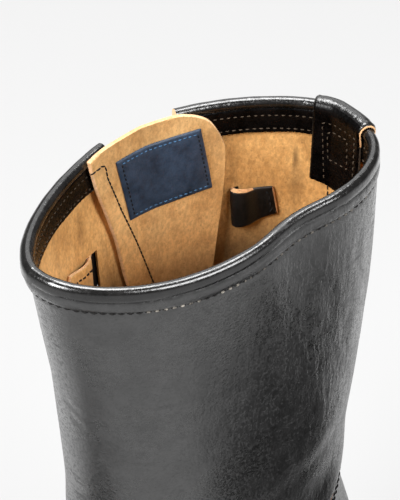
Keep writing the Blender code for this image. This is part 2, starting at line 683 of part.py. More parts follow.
# Top strap: out of a slot in front of the slit, over it, and through the buckle behind it
TOP_WIDTH = 19.0
TOP_PATH = [
    (0.862, 84.9), (0.836, 84.0), (0.809, 83.3), (0.77, 83.1), (0.73, 83.0), (0.69, 83.2), (0.65, 83.4),
    (0.62, 83.8), (0.597, 84.2), (0.565, 84.6), (0.535, 84.9), (0.50, 85.0), (0.46, 85.0),
]
FRONT_SLOT = 21.0           # places along the strap, from its end inside the shaft
BACK_SLOT = 87.0
TOP_BAR = 70.0
SLOT_RAMP = 5.0             # the strap slants through the wall over this length each way
SLOT_PLAY = 0.7
top_lay, top_length = route(TOP_PATH)


def through_slot(slot, side, thickness):
    """(a, n) points of a band that comes out of a slot; side is 1 where it goes on to greater a."""
    inside = -(WALL + GAP + thickness / 2)
    outside = GAP + thickness / 2
    ramp = side * SLOT_RAMP
    return [(slot - ramp, inside), (slot, -WALL / 2), (slot + ramp, outside)]


strap_from = [(0.5, -(WALL + GAP + STRAP / 2))] + through_slot(FRONT_SLOT, 1, STRAP)
strap_to = [(TOP_BAR + 30, GAP + 3.2), (TOP_BAR + 42, GAP + 2.6), (TOP_BAR + 58, GAP + STRAP / 2 + 0.2)]
chape_from = [(BACK_SLOT + 22, -(WALL + GAP + CHAPE / 2))] + through_slot(BACK_SLOT, -1, CHAPE)
buckled_strap("top", top_lay, TOP_WIDTH, GAP, TOP_BAR, strap_from, strap_to, chape_from)
keeper("top_keeper", top_lay, TOP_BAR + 30, TOP_WIDTH, 5 * GAP, 19 * GAP)


def cut_slot(name, at, width):
    """Cuts a slot for a band of that width through the wall of the upper."""
    corners = np.array([(-1, -1), (1, -1), (1, 1), (-1, 1)])
    a = at + corners[:, 0] * (SLOT_RAMP + SLOT_PLAY)
    b = corners[:, 1] * (width / 2 + SLOT_PLAY)
    rings = [top_lay(a, b, np.full(4, n)) for n in (-(WALL + 1.5), 1.5)]
    cut = upper.modifiers.new(name, "BOOLEAN")
    cut.object = cutter(loft(name, rings, "black_leather"))
    cut.operation = "DIFFERENCE"


cut_slot("front_slot", FRONT_SLOT, TOP_WIDTH)
cut_slot("back_slot", BACK_SLOT, TOP_WIDTH - 1.0)

# Instep strap: from the welt on the inner side, over the instep, to its buckle on the outer side
INSTEP_WIDTH = 21.0
INSTEP_LEVEL = 37.5
FOOT_X = -42.0              # side view of the place where it meets the welt
FOOT_Z = 45.6


def side_view_point(x, z):
    """The (u, level) of the wall seen from the inner side at x and z."""
    low, high = 0.0, 60.0
    for _ in range(50):
        level = (low + high) / 2
        back, front = float(column(PROFILE, "back_x", level)), float(column(PROFILE, "front_x", level))
        share = min(max((x - back) / (front - back), 0.0), 1.0)
        u = math.acos(2 * share - 1) / (2 * math.pi)
        if skin_point(u, level)[2] < z:
            low = level
        else:
            high = level
    return u, level


top_x = float(column(PROFILE, "front_x", INSTEP_LEVEL))
top_z = float(column(PROFILE, "front_z", INSTEP_LEVEL))
steps = np.linspace(1.0, 0.0, 15)[:-1] ** 1.5
inner_path = [side_view_point(top_x + (FOOT_X - top_x) * f, top_z + (FOOT_Z - top_z) * f) for f in steps]
outer_path = [(-u, level) for u, level in reversed(inner_path)]
instep_lay, instep_length = route(inner_path + [(0.0, INSTEP_LEVEL)] + outer_path)
over_vamp = OVERLAY + 4 * GAP
instep_lift = 1.5           # the buckle's chape rides this much higher than the strap on the inner side
instep_rest = over_vamp + instep_lift
INSTEP_BAR = instep_length - 48.0
low_strap = over_vamp + STRAP / 2
strap_from = [(0.5, low_strap), (20.0, low_strap), (60.0, low_strap), (INSTEP_BAR - 45, low_strap + 0.5)]
strap_to = [(INSTEP_BAR + 30, instep_rest + 4.0)]
chape_from = [(instep_length - 0.5, over_vamp + CHAPE / 2), (instep_length - 14, instep_rest + CHAPE / 2)]
buckled_strap(
    "instep", instep_lay, INSTEP_WIDTH, instep_rest, INSTEP_BAR, strap_from, strap_to, chape_from, skew=0.5
)
keeper("instep_keeper", instep_lay, INSTEP_BAR + 18, INSTEP_WIDTH, instep_rest - GAP, instep_rest + 22 * GAP)
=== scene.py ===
# %% [markdown]
# # Dressing an engineer boot
# The boot's solids are ready: a hollow upper, a welted sole, straps and buckles, all in metres. This
# lesson gives each of them its skin. The black leather, the napped tan inside, the rolled collar and the
# rows of thread are modelled as fine meshes that stand where the solids stand.

# %% Load the solids
import math
from collections import namedtuple

import bmesh
import bpy
import numpy as np
from mathutils import Matrix, Vector


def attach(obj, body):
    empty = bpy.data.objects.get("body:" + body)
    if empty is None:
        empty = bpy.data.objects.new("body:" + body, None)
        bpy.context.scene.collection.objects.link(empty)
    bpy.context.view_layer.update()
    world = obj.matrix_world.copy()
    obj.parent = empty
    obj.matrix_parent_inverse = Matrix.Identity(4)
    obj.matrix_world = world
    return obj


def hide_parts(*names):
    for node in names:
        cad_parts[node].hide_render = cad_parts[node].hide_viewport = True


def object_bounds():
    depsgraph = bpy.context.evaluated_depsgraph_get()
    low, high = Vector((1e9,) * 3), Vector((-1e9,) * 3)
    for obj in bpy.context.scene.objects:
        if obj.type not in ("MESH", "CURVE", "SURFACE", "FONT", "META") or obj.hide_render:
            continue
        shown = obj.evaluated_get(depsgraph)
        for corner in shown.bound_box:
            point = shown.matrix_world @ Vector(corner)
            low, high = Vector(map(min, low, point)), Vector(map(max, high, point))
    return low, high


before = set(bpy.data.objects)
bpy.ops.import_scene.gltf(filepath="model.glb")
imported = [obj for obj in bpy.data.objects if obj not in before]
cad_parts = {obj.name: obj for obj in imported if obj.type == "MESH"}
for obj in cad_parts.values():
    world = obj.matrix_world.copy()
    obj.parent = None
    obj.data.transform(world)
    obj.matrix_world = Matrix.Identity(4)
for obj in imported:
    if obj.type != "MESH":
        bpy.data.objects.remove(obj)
cad_low, cad_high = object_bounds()

print("solids:", len(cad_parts), "box:", [round(v, 4) for v in (*cad_low, *cad_high)])

# %% [markdown]
# ## The camera
# The picture looks down into the shaft from the inner side, over the instep. A long lens from less than a
# metre away keeps the collar's ellipse as flat as it is there. A camera is aimed with a rotation matrix:
# its columns are the camera's right, its up and the way back from what it looks at. A Track To
# constraint would aim it too, but it gives no hold on the pixel where the collar comes to lie.

# %% Aim the camera
PICTURE_LONG_SIDE = 500          # pixels of the picture's long side
AIM = Vector((-0.067, 0.007, 0.2975))   # a point on the collar's plane, inside the shaft
AIM_BELOW_TOP = 200              # its pixel row
AIM_DISTANCE = 0.850
FOCAL_PIXELS = AIM_DISTANCE / 0.00037   # at that distance a pixel is 0.37 mm
LOOK_DOWN = math.radians(39)
TURN = math.radians(41)

right = Vector((-math.cos(TURN), math.sin(TURN), 0))
away = Vector((-math.sin(TURN), -math.cos(TURN), 0))
forward = away * math.cos(LOOK_DOWN) - Vector((0, 0, math.sin(LOOK_DOWN)))
up = away * math.sin(LOOK_DOWN) + Vector((0, 0, math.cos(LOOK_DOWN)))
rows_above_centre = PICTURE_LONG_SIDE / 2 - AIM_BELOW_TOP
eye = AIM - AIM_DISTANCE * (forward + up * (rows_above_centre / FOCAL_PIXELS))

camera = bpy.data.objects.new("camera", bpy.data.cameras.new("camera"))
camera.data.sensor_width = 36
camera.data.lens = FOCAL_PIXELS / PICTURE_LONG_SIDE * camera.data.sensor_width
camera.matrix_world = Matrix((right, up, -forward)).transposed().to_4x4()
camera.location = eye
bpy.context.scene.collection.objects.link(camera)
bpy.context.scene.camera = camera
print("eye:", [round(v, 3) for v in eye], "lens:", round(camera.data.lens, 1))

# %% [markdown]
# ## The room and its lamps
# Black leather shows little of its own colour: what the eye reads is the room that it mirrors. A shoe
# photographer works with that. Softboxes on both sides of the camera shine into the shaft, and one
# overhead and one behind draw bright lines along the rounded edges. An area lamp is Blender's softbox. A
# sun or a spot would be simpler, but its highlight is a small hard dot.

# %% Room and softboxes
bpy.context.scene.view_settings.view_transform = "Standard"
ROOM_LIGHT = 0.20
SHAFT_AXIS = Vector((-0.067, 0.007, 0.0))
LAMPS_FACE = SHAFT_AXIS + Vector((0, 0, 0.28))   # inside the shaft, a little below its collar
Softbox = namedtuple("Softbox", "name bearing height distance size watts")
SOFTBOXES = [
    Softbox("left_box", -48, 48, 1.5, 0.55, 31),
    Softbox("right_box", 55, 46, 1.5, 0.55, 16),
    Softbox("top_box", 180, 74, 1.3, 0.55, 18),
    Softbox("back_box", 180, 38, 1.6, 1.0, 5),
]

world = bpy.data.worlds.new("pale_room")
world.use_nodes = True
world.node_tree.nodes["Background"].inputs["Color"].default_value = (1.0, 0.995, 0.985, 1)
world.node_tree.nodes["Background"].inputs["Strength"].default_value = ROOM_LIGHT
bpy.context.scene.world = world


def around_camera(bearing, height, distance):
    """A place round the shaft: bearing in degrees from the camera's side to the right, height in degrees."""
    turn, tilt = math.radians(bearing), math.radians(height)
    level = right * math.sin(turn) - away * math.cos(turn)
    return SHAFT_AXIS + distance * (level * math.cos(tilt) + Vector((0, 0, math.sin(tilt))))


def hang_softbox(box):
    """A square lamp that faces the collar and that the camera doesn't see."""
    lamp = bpy.data.objects.new(box.name, bpy.data.lights.new(box.name, "AREA"))
    lamp.data.size = box.size
    lamp.data.energy = box.watts
    lamp.location = around_camera(box.bearing, box.height, box.distance)
    lamp.rotation_euler = (LAMPS_FACE - lamp.location).to_track_quat("-Z", "Y").to_euler()
    lamp.visible_camera = False
    bpy.context.scene.collection.objects.link(lamp)


for box in SOFTBOXES:
    hang_softbox(box)
print("softboxes:", [box.name for box in SOFTBOXES], "watts:", sum(box.watts for box in SOFTBOXES))

# %% [markdown]
# ## Floor and cards
# A pale floor that glows fills the upright walls with an even grey. Outside the picture, a black card
# stands beside the shaft and gives it its dark band. Three cards lie on the floor: a grey one calms the
# shaft's middle, and two white ones light its edges. Such bands could be painted into the leather, but
# they would stay where they are when the boot turns. Cards that only glossy rays see are true
# reflections, and no view shows the cards themselves.

# %% Floor and cards
FLOOR_SIZE = 8.0
FLOOR_BELOW = 0.0002             # the floor lies this much under the boot
CARD_LIFT = 0.001
BLACK_CARD_RIGHT = 0.105         # how far to the right of the shaft the black card stands
Card = namedtuple("Card", "name left right far near glow")
FLOOR_CARDS = [
    Card("grey_card", -0.14, 0.14, 0.22, 0.80, 0.5),
    Card("white_card", -0.75, -0.17, -0.55, 0.03, 1.2),
    Card("back_card", 0.17, 0.75, -0.60, -0.10, 1.1),
]


def studio_place(to_right, nearer, height):
    """A place in the studio: to the camera's right of the shaft, and nearer to the camera."""
    return SHAFT_AXIS + right * to_right - away * nearer + Vector((0, 0, height))


def stage_sheet(name, corners):
    """A four-cornered sheet of the studio, which isn't part of the boot."""
    mesh = bpy.data.meshes.new(name)
    mesh.from_pydata(corners, [], [(0, 1, 2, 3)])
    sheet = bpy.data.objects.new(name, mesh)
    bpy.context.scene.collection.objects.link(sheet)
    return sheet


def studio_card(name, corners):
    """A card that shows in the gloss alone."""
    card = stage_sheet(name, corners)
    card.visible_camera = card.visible_diffuse = card.visible_shadow = False
    return card


half = FLOOR_SIZE / 2
floor = stage_sheet("floor", [(-half, -half, 0), (half, -half, 0), (half, half, 0), (-half, half, 0)])
floor.location.z = cad_low.z - FLOOR_BELOW
black_corners = [(0.118, 0.0), (-0.06, 0.0), (0.008, 0.25), (0.118, 0.085)]
black_card = studio_card("black_card", [studio_place(BLACK_CARD_RIGHT, *corner) for corner in black_corners])
for card in FLOOR_CARDS:
    corners = [(card.left, card.far), (card.right, card.far), (card.right, card.near), (card.left, card.near)]
    studio_card(card.name, [studio_place(*corner, CARD_LIFT) for corner in corners])
print("floor at", round(floor.location.z, 4), "with", black_card.name, [card.name for card in FLOOR_CARDS])

# %% [markdown]
# ## The wall as a function
# A last gives a boot its form, so the wall is written once, as a function. `u` goes round the boot: 0 is
# the front, 0.25 the inner side, 0.5 the back, 0.75 the outer side. `level` climbs it in percent: 0 at
# the welt, 100 at the collar. `out` is the distance from the outer face. Each leather piece is then a
# patch of (u, level, out), and it lies on its neighbours by itself. Sizes here are in millimetres.

# %% The sole's heights
MM = 0.001
GAP = 0.3
WALL = 2.2
OUTSOLE, MIDSOLE, WELT, INSOLE = 6.0, 5.0, 4.0, 3.5
HEEL_LIFT, HEEL_STACK = 7.0, 26.7
HEEL_HEIGHT = HEEL_LIFT + HEEL_STACK + 2 * GAP
TOE_SPRING = 11.0
HEEL_SEAT_END, HEEL_BREAST = -78.0, -76.0
TREAD_START, TREAD_END, SOLE_TIP = 20.0, 72.0, 150.0


def smooth_step(t):
    t = np.clip(t, 0.0, 1.0)
    return t * t * (3.0 - 2.0 * t)


def sole_rise(x):
    """Height of the outsole's underside above the floor."""
    x = np.asarray(x, float)
    arch = HEEL_HEIGHT * (1.0 - smooth_step((x - HEEL_SEAT_END) / (TREAD_START - HEEL_SEAT_END)))
    spring = TOE_SPRING * (np.clip(x - TREAD_END, 0.0, None) / (SOLE_TIP - TREAD_END)) ** 2
    return arch + spring


def sole_top(x):
    """Height of the midsole's upper face, where the upper stands."""
    return sole_rise(x) + OUTSOLE + GAP + MIDSOLE


FEATHER_FRONT, FEATHER_BACK = 141.0, -140.0
FEATHER_FRONT_Z = float(sole_top(FEATHER_FRONT)) + 1.5 * GAP
FEATHER_BACK_Z = float(sole_top(FEATHER_BACK)) + 1.5 * GAP

print("midsole's top, heel to toe:", np.round(sole_top([HEEL_SEAT_END, TREAD_START, SOLE_TIP]), 1), "mm")

# %% [markdown]
# ## The wall's measures
# A last maker notes a boot's form in sections: where its front and back stand at each height, how wide it
# is there and how round its ends are. Three short tables hold these. A scanned mesh would be exact but
# stiff to change, while a row of a table moves a whole region smoothly.

# %% The wall's tables
Profile = namedtuple("Profile", "level front_x front_z back_x back_z follow")
PROFILE = [
    Profile(0, FEATHER_FRONT, FEATHER_FRONT_Z, FEATHER_BACK, FEATHER_BACK_Z, 1.0),
    Profile(5, 145.0, 36.0, -145.0, 59.0, 1.0),
    Profile(10, 141.5, 50.5, -147.5, 72.0, 0.85),
    Profile(15, 129.0, 60.5, -148.0, 84.0, 0.6),
    Profile(20, 108.0, 67.0, -147.0, 95.0, 0.35),
    Profile(25, 80.0, 73.0, -144.5, 106.0, 0.15),
    Profile(30, 51.0, 82.0, -141.5, 117.0, 0.05),
    Profile(36, 24.0, 97.0, -139.5, 130.0, 0.0),
    Profile(42, 4.0, 117.0, -138.5, 144.0, 0.0),
    Profile(49, -6.5, 141.0, -139.0, 161.0, 0.0),
    Profile(57, -9.0, 168.0, -141.5, 182.0, 0.0),
    Profile(66, -7.5, 197.0, -143.5, 205.0, 0.0),
    Profile(77, -4.0, 229.0, -146.0, 232.0, 0.0),
    Profile(88, 1.5, 262.0, -147.0, 262.0, 0.0),
    Profile(100, 7.0, 295.0, -147.0, 295.0, 0.0),
]
Width = namedtuple("Width", "level inner outer heel_share wide_at heel_at waist_in waist_out swing")
WIDTH = [
    Width(0, 46.0, 47.5, 0.63, 0.70, 0.13, 0.17, 0.06, 5.0),
    Width(5, 49.5, 51.0, 0.68, 0.70, 0.13, 0.15, 0.06, 5.0),
    Width(10, 48.0, 49.5, 0.74, 0.68, 0.14, 0.12, 0.05, 5.0),
    Width(15, 43.5, 44.5, 0.84, 0.64, 0.16, 0.08, 0.03, 5.0),
    Width(20, 39.0, 40.5, 0.91, 0.56, 0.18, 0.04, 0.02, 4.0),
    Width(25, 36.0, 38.0, 0.95, 0.50, 0.22, 0.0, 0.0, 2.0),
    Width(30, 35.0, 36.5, 0.96, 0.47, 0.26, 0.0, 0.0, 1.0),
    Width(42, 36.0, 36.0, 0.98, 0.46, 0.34, 0.0, 0.0, 0.0),
    Width(57, 40.5, 38.0, 1.0, 0.46, 0.40, 0.0, 0.0, 0.0),
    Width(77, 42.0, 41.5, 1.0, 0.455, 0.44, 0.03, 0.0, 0.0),
    Width(100, 42.5, 46.0, 1.0, 0.455, 0.455, 0.08, 0.0, 0.0),
]
Round = namedtuple("Round", "level toe_in toe_out heel_in heel_out")
ROUND = [
    Round(0, 2.3, 2.3, 2.2, 2.2), Round(20, 2.1, 2.1, 2.2, 2.2), Round(42, 2.0, 2.0, 2.2, 2.2),
    Round(70, 2.1, 1.9, 2.6, 1.9), Round(100, 2.2, 1.62, 2.9, 1.6),
]
WAIST_AT, WAIST_SPREAD = 0.38, 0.11
COLLAR_DIP, DIP_AT, DIP_SPREAD = 3.9, 0.19, 0.09   # wear has let the collar sink on the inner side
print("wall rows:", len(PROFILE), "heel:", HEEL_HEIGHT, "mm")

# %% [markdown]
# ## A curve through a table
# Between two rows of a table the wall has to run smoothly, or the gloss would show a crease at every row.
# So each column is read on a cubic curve through its rows, as a draughtsman bends a spline through pins.
# Straight steps are simpler, and a high polynomial would be smoother but swings between the pins.

# %% A curve through a table


def column(table, name, at):
    """One column of a table, on a smooth curve through its rows, at values of its first column."""
    knots = np.array([row[0] for row in table], float)
    values = np.array([getattr(row, name) for row in table], float)
    steps = np.diff(values) / np.diff(knots)
    slopes = np.empty_like(values)
    slopes[0], slopes[-1] = steps[0], steps[-1]
    before, after = np.diff(knots)[:-1], np.diff(knots)[1:]
    slopes[1:-1] = (steps[:-1] * after + steps[1:] * before) / (before + after)
    at = np.asarray(at, float)
    i = np.clip(np.searchsorted(knots, at, side="right") - 1, 0, len(knots) - 2)
    span = knots[i + 1] - knots[i]
    t = (at - knots[i]) / span
    inside = np.clip(t, 0.0, 1.0)
    cubic = (
        values[i] * (1 + 2 * inside) * (1 - inside) ** 2
        + values[i + 1] * inside**2 * (3 - 2 * inside)
        + span * inside * (1 - inside) * (slopes[i] * (1 - inside) - slopes[i + 1] * inside)
    )
    beyond = (t - inside) * span
    return cubic + beyond * np.where(t > 1, slopes[i + 1], slopes[i])


print("a third of the way up, the front stands at", round(float(column(PROFILE, "front_x", 33)), 1), "mm")

# %% [markdown]
# ## The wall's surface
# Each section of the boot is closed like an ellipse whose power can change, from a round toe to a flat
# shaft side. Blender could loft curves through such sections, but a formula gives any point of the wall
# at once and the direction out of it, which each later piece needs to lie on the leather.

# %% The wall's surface


def skin_point(u, level):
    """A point of the wall's outer face."""
    u, level = np.broadcast_arrays(np.asarray(u, float), np.asarray(level, float))
    turn = 2 * math.pi * u
    s = (1 + np.cos(turn)) / 2
    inner_side = np.sin(turn) >= 0

    def of(table, inner_name, outer_name):
        return np.where(inner_side, column(table, inner_name, level), column(table, outer_name, level))

    front, back = column(PROFILE, "front_x", level), column(PROFILE, "back_x", level)
    x = back + (front - back) * s
    straight = column(PROFILE, "back_z", level) * (1 - s) + column(PROFILE, "front_z", level) * s
    chord = sole_top(back) * (1 - s) + sole_top(front) * s
    z = straight + column(PROFILE, "follow", level) * (sole_top(x) - chord)
    wide_at, heel_at = column(WIDTH, "wide_at", level), column(WIDTH, "heel_at", level)
    share = column(WIDTH, "heel_share", level)
    grow = smooth_step((s - heel_at) / np.maximum(wide_at - heel_at, 1e-3))
    waist = of(WIDTH, "waist_in", "waist_out") * np.exp(-(((s - WAIST_AT) / WAIST_SPREAD) ** 2))
    body = of(WIDTH, "inner", "outer") * (share + (1 - share) * grow) * (1 - waist)
    toe_power, heel_power = of(ROUND, "toe_in", "toe_out"), of(ROUND, "heel_in", "heel_out")
    toe = np.clip((s - wide_at) / (1 - wide_at), 0, 1)
    heel = np.clip((heel_at - s) / heel_at, 0, 1)
    ends = (1 - toe**toe_power) ** (1 / toe_power) * (1 - heel**heel_power) ** (1 / heel_power)
    middle = column(WIDTH, "swing", level) * smooth_step((s - 0.5) / 0.5)
    y = middle + np.where(inner_side, 1, -1) * body * ends
    dip = COLLAR_DIP * np.exp(-(((u % 1 - DIP_AT) / DIP_SPREAD) ** 2)) * smooth_step((level - 80) / 20)
    return np.stack([x, y, z - dip], -1)


def wall_frame(u, level):
    """Unit vectors along u, up the wall and out of it, and the wall's length per unit of u and level."""
    du, dl = 1e-3, 0.05
    along = (skin_point(np.add(u, du), level) - skin_point(np.subtract(u, du), level)) / (2 * du)
    rise = (skin_point(u, np.add(level, dl)) - skin_point(u, np.subtract(level, dl))) / (2 * dl)
    along_length = np.linalg.norm(along, axis=-1, keepdims=True)
    rise_length = np.linalg.norm(rise, axis=-1, keepdims=True)
    out = np.cross(along, rise)
    out /= np.linalg.norm(out, axis=-1, keepdims=True)
    return along / along_length, rise / rise_length, out, along_length[..., 0], rise_length[..., 0]


def wall_point(u, level, out=0.0):
    u, level, out = np.broadcast_arrays(*(np.asarray(v, float) for v in (u, level, out)))
    return skin_point(u, level) + out[..., None] * wall_frame(u, level)[2]


print("collar, front to back:", np.round(skin_point([0.0, 0.5], 100.0)[:, 0], 1), "mm")

# %% [markdown]
# ## A piece of the boot
# Every piece is a mesh with its finishes. It rides on the boot's root body, and the solid it stands for
# is hidden. This could be done piece by piece, but one function can't miss a step. It also turns every
# face outwards and keeps edges sharp only where they turn by more than an angle.

# %% A piece of the boot


def add_piece(name, points, faces, finishes, which, stands_for=(), sharp=55):
    """A piece of the boot from points in millimetres; which gives each face the number of its finish."""
    mesh = bpy.data.meshes.new(name)
    mesh.from_pydata((np.asarray(points, float).reshape(-1, 3) * MM).tolist(), [], faces)
    mesh.polygons.foreach_set("material_index", np.asarray(which, np.int32))
    for stuff in finishes:
        mesh.materials.append(stuff)
    bm = bmesh.new()
    bm.from_mesh(mesh)
    loose = [v for v in bm.verts if not v.link_faces]
    bmesh.ops.delete(bm, geom=loose, context="VERTS")
    bmesh.ops.recalc_face_normals(bm, faces=bm.faces)
    bm.to_mesh(mesh)
    bm.free()
    mesh.shade_smooth()
    mesh.set_sharp_from_angle(angle=math.radians(sharp))
    piece = bpy.data.objects.new(name, mesh)
    bpy.context.scene.collection.objects.link(piece)
    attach(piece, "root")
    if stands_for:
        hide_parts(*stands_for)
    print(name, len(mesh.polygons), "faces")
    return piece


def quads(index):
    """The four-sided faces of a grid of point numbers."""
    corners = [index[:-1, :-1], index[:-1, 1:], index[1:, 1:], index[1:, :-1]]
    return np.stack(corners, -1).reshape(-1, 4).tolist()


print("a grid of 3 by 4 points has", len(quads(np.arange(12).reshape(3, 4))), "faces")

# %% [markdown]
# ## Cutting leather
# A piece of leather has a face, a back and a cut edge, and each shows another colour. So one function
# takes two grids of points, the face and the back, and closes them with a rounded edge. A Solidify
# modifier could do it too, but it gives a square edge. What is round, such as a bead or a wire, is lofted
# through rings of points instead.

# %% Leather and lofts
EDGE_ROUND = 0.35                # how far a cut edge bulges, as a share of the thickness


def leather(name, face, back, finishes, stands_for=()):
    """Leather between two grids of one size, with a rounded edge; finishes are face, back and edge."""
    rows, columns = face.shape[:2]
    size = rows * columns
    index = np.arange(size).reshape(rows, columns)
    i, k = np.indices((rows, columns))
    inner = face[np.clip(i, 1, rows - 2), np.clip(k, 1, columns - 2)]
    loop = np.concatenate([index[0, :-1], index[:-1, -1], index[-1, :0:-1], index[:0:-1, 0]])
    face_points, back_points = face.reshape(-1, 3), back.reshape(-1, 3)
    outward = (face - inner).reshape(-1, 3)[loop]
    outward /= np.linalg.norm(outward, axis=1, keepdims=True) + 1e-9
    thickness = np.linalg.norm((face_points - back_points)[loop], axis=1, keepdims=True)
    rim = (face_points + back_points)[loop] / 2 + outward * thickness * EDGE_ROUND
    points = np.concatenate([face_points, back_points, rim])
    rim_index = np.arange(len(loop)) + 2 * size
    after, rim_after = np.roll(loop, -1), np.roll(rim_index, -1)
    edges = np.concatenate([
        np.stack([after, loop, rim_index, rim_after], -1),
        np.stack([rim_after, rim_index, loop + size, after + size], -1),
    ]).tolist()
    faces = quads(index) + [f[::-1] for f in quads(index + size)] + edges
    count = (rows - 1) * (columns - 1)
    which = np.repeat([0, 1, 2], [count, count, len(edges)])
    return add_piece(name, points, faces, finishes, which, stands_for)


def loft(name, rings, finishes, stands_for=(), closed=False, sharp=55):
    """A skin through rings of points; an open one gets a flat cap at each end, in the last finish."""
    rings = np.asarray(rings, float)
    count, size = rings.shape[:2]
    index = np.arange(count * size).reshape(count, size)
    index = np.concatenate([index, index[:, :1]], 1)
    if closed:
        index = np.concatenate([index, index[:1]])
    faces = quads(index)
    which = [0] * len(faces)
    if not closed:
        faces += [list(range(size)), list(range((count - 1) * size, count * size))]
        which += [len(finishes) - 1] * 2
    return add_piece(name, rings, faces, finishes, which, stands_for, sharp)


print("a cut edge bulges by", EDGE_ROUND, "of the leather's thickness")

# %% [markdown]
# ## Patterns
# A finish is a Principled shader with a few patterns on it. The patterns lie in the boot's own metres, so
# a scale of 900 gives features of about a millimetre. Bump carries the grain, and the roughness wanders a
# little, because no hide takes polish evenly. Values that are the same everywhere are set on the shader
# itself.

# %% Patterns


def finish(name, colour, roughness, **inputs):
    """A material with a Principled shader; inputs are its other fixed values."""
    stuff = bpy.data.materials.new(name)
    stuff.use_nodes = True
    shader = stuff.node_tree.nodes["Principled BSDF"]
    shader.inputs["Base Color"].default_value = (*colour, 1)
    shader.inputs["Roughness"].default_value = roughness
    for key, value in inputs.items():
        shader.inputs[key.replace("_", " ")].default_value = value
    return stuff


def add_node(stuff, kind, inputs=None, **settings):
    node = stuff.node_tree.nodes.new(kind)
    for key, value in settings.items():
        setattr(node, key, value)
    for key, value in (inputs or {}).items():
        node.inputs[key].default_value = value
    return node


def pattern(stuff, kind, scale, stretch=(1, 1, 1), output=0, inputs=None, **settings):
    """A texture in the boot's metres, with scale features a metre, drawn out by stretch."""
    link = stuff.node_tree.links.new
    place = add_node(stuff, "ShaderNodeTexCoord")
    scaled = add_node(stuff, "ShaderNodeMapping", {"Scale": stretch})
    made = add_node(stuff, kind, {"Scale": scale, **(inputs or {})}, **settings)
    link(place.outputs["Object"], scaled.inputs["Vector"])
    link(scaled.outputs[0], made.inputs["Vector"])
    return made.outputs[output]


def cloud(stuff, scale, stretch=(1, 1, 1), detail=4.0, roughness=0.55):
    return pattern(stuff, "ShaderNodeTexNoise", scale, stretch, 0, {"Detail": detail, "Roughness": roughness})


def pebbles(stuff, scale, stretch=(1, 1, 1), feature="F1"):
    return pattern(stuff, "ShaderNodeTexVoronoi", scale, stretch, 0, feature=feature)


def between(stuff, value, low, high, to_low=0.0, to_high=1.0):
    """The value mapped from one range to another, held at its ends."""
    ranged = add_node(stuff, "ShaderNodeMapRange", {1: low, 2: high, 3: to_low, 4: to_high})
    stuff.node_tree.links.new(value, ranged.inputs[0])
    return ranged.outputs[0]


def times(stuff, a, b):
    made = add_node(stuff, "ShaderNodeMath", operation="MULTIPLY")
    stuff.node_tree.links.new(a, made.inputs[0])
    stuff.node_tree.links.new(b, made.inputs[1])
    return made.outputs[0]


print("materials before the boot's own:", len(bpy.data.materials))

# %% [markdown]
# ## Colour, polish and relief
# A pattern is only numbers until it drives something. These helpers let it choose a colour, darken one,
# change the gloss or raise the surface. Each works on top of what is there, so a finish is built up in
# layers, as a tanner does with dye, wax and a hot plate. Painted pictures could do it, but nodes stay
# sharp from any distance.

# %% Colour, polish and relief


def tint(stuff, value, *stops):
    """Colours the finish along (position, colour) stops."""
    ramp = add_node(stuff, "ShaderNodeValToRGB")
    elements = ramp.color_ramp.elements
    while len(elements) < len(stops):
        elements.new(0.5)
    for element, (position, colour) in zip(elements, stops):
        element.position = position
        element.color = (*colour, 1)
    shader = stuff.node_tree.nodes["Principled BSDF"]
    stuff.node_tree.links.new(value, ramp.inputs[0])
    stuff.node_tree.links.new(ramp.outputs[0], shader.inputs["Base Color"])


def shade(stuff, value):
    """Darkens the colour that is there where the value is below 1."""
    shader = stuff.node_tree.nodes["Principled BSDF"]
    darker = add_node(stuff, "ShaderNodeVectorMath", operation="SCALE")
    stuff.node_tree.links.new(shader.inputs["Base Color"].links[0].from_socket, darker.inputs[0])
    stuff.node_tree.links.new(value, darker.inputs["Scale"])
    stuff.node_tree.links.new(darker.outputs[0], shader.inputs["Base Color"])


def polish(stuff, value, low, high):
    """Lets the roughness run from low to high with the value."""
    shader = stuff.node_tree.nodes["Principled BSDF"]
    stuff.node_tree.links.new(between(stuff, value, 0.25, 0.75, low, high), shader.inputs["Roughness"])


def roughen(stuff, value):
    """Adds the value to the roughness that is there."""
    shader = stuff.node_tree.nodes["Principled BSDF"]
    more = add_node(stuff, "ShaderNodeMath", operation="ADD", use_clamp=True)
    stuff.node_tree.links.new(shader.inputs["Roughness"].links[0].from_socket, more.inputs[0])
    stuff.node_tree.links.new(value, more.inputs[1])
    stuff.node_tree.links.new(more.outputs[0], shader.inputs["Roughness"])


def emboss(stuff, height, depth):
    """Adds relief of that depth, in millimetres, on top of what is there."""
    link = stuff.node_tree.links.new
    shader = stuff.node_tree.nodes["Principled BSDF"]
    bump = add_node(stuff, "ShaderNodeBump", {"Strength": 1.0, "Distance": depth * MM})
    link(height, bump.inputs["Height"])
    if shader.inputs["Normal"].is_linked:
        link(shader.inputs["Normal"].links[0].from_socket, bump.inputs["Normal"])
    link(bump.outputs[0], shader.inputs["Normal"])


def along_axis(stuff, axis, low, high):
    """0 to 1 along the boot's x, y or z between two places in metres."""
    place = add_node(stuff, "ShaderNodeTexCoord")
    parts = add_node(stuff, "ShaderNodeSeparateXYZ")
    stuff.node_tree.links.new(place.outputs["Object"], parts.inputs[0])
    return between(stuff, parts.outputs[axis], low, high)


print("layers: colour, shade, polish, roughness and relief, each over the last")

# %% [markdown]
# ## Black leather
# The shaft is a smooth, waxed hide with a satin gloss. Its grain is tight at the front and opens into
# fine upright wrinkles towards the back, where the skin was looser. One photographed grain would repeat
# and look the same all over. Patterns can be mixed instead: a mask along the boot's length turns those
# wrinkles on.

# %% Black leathers


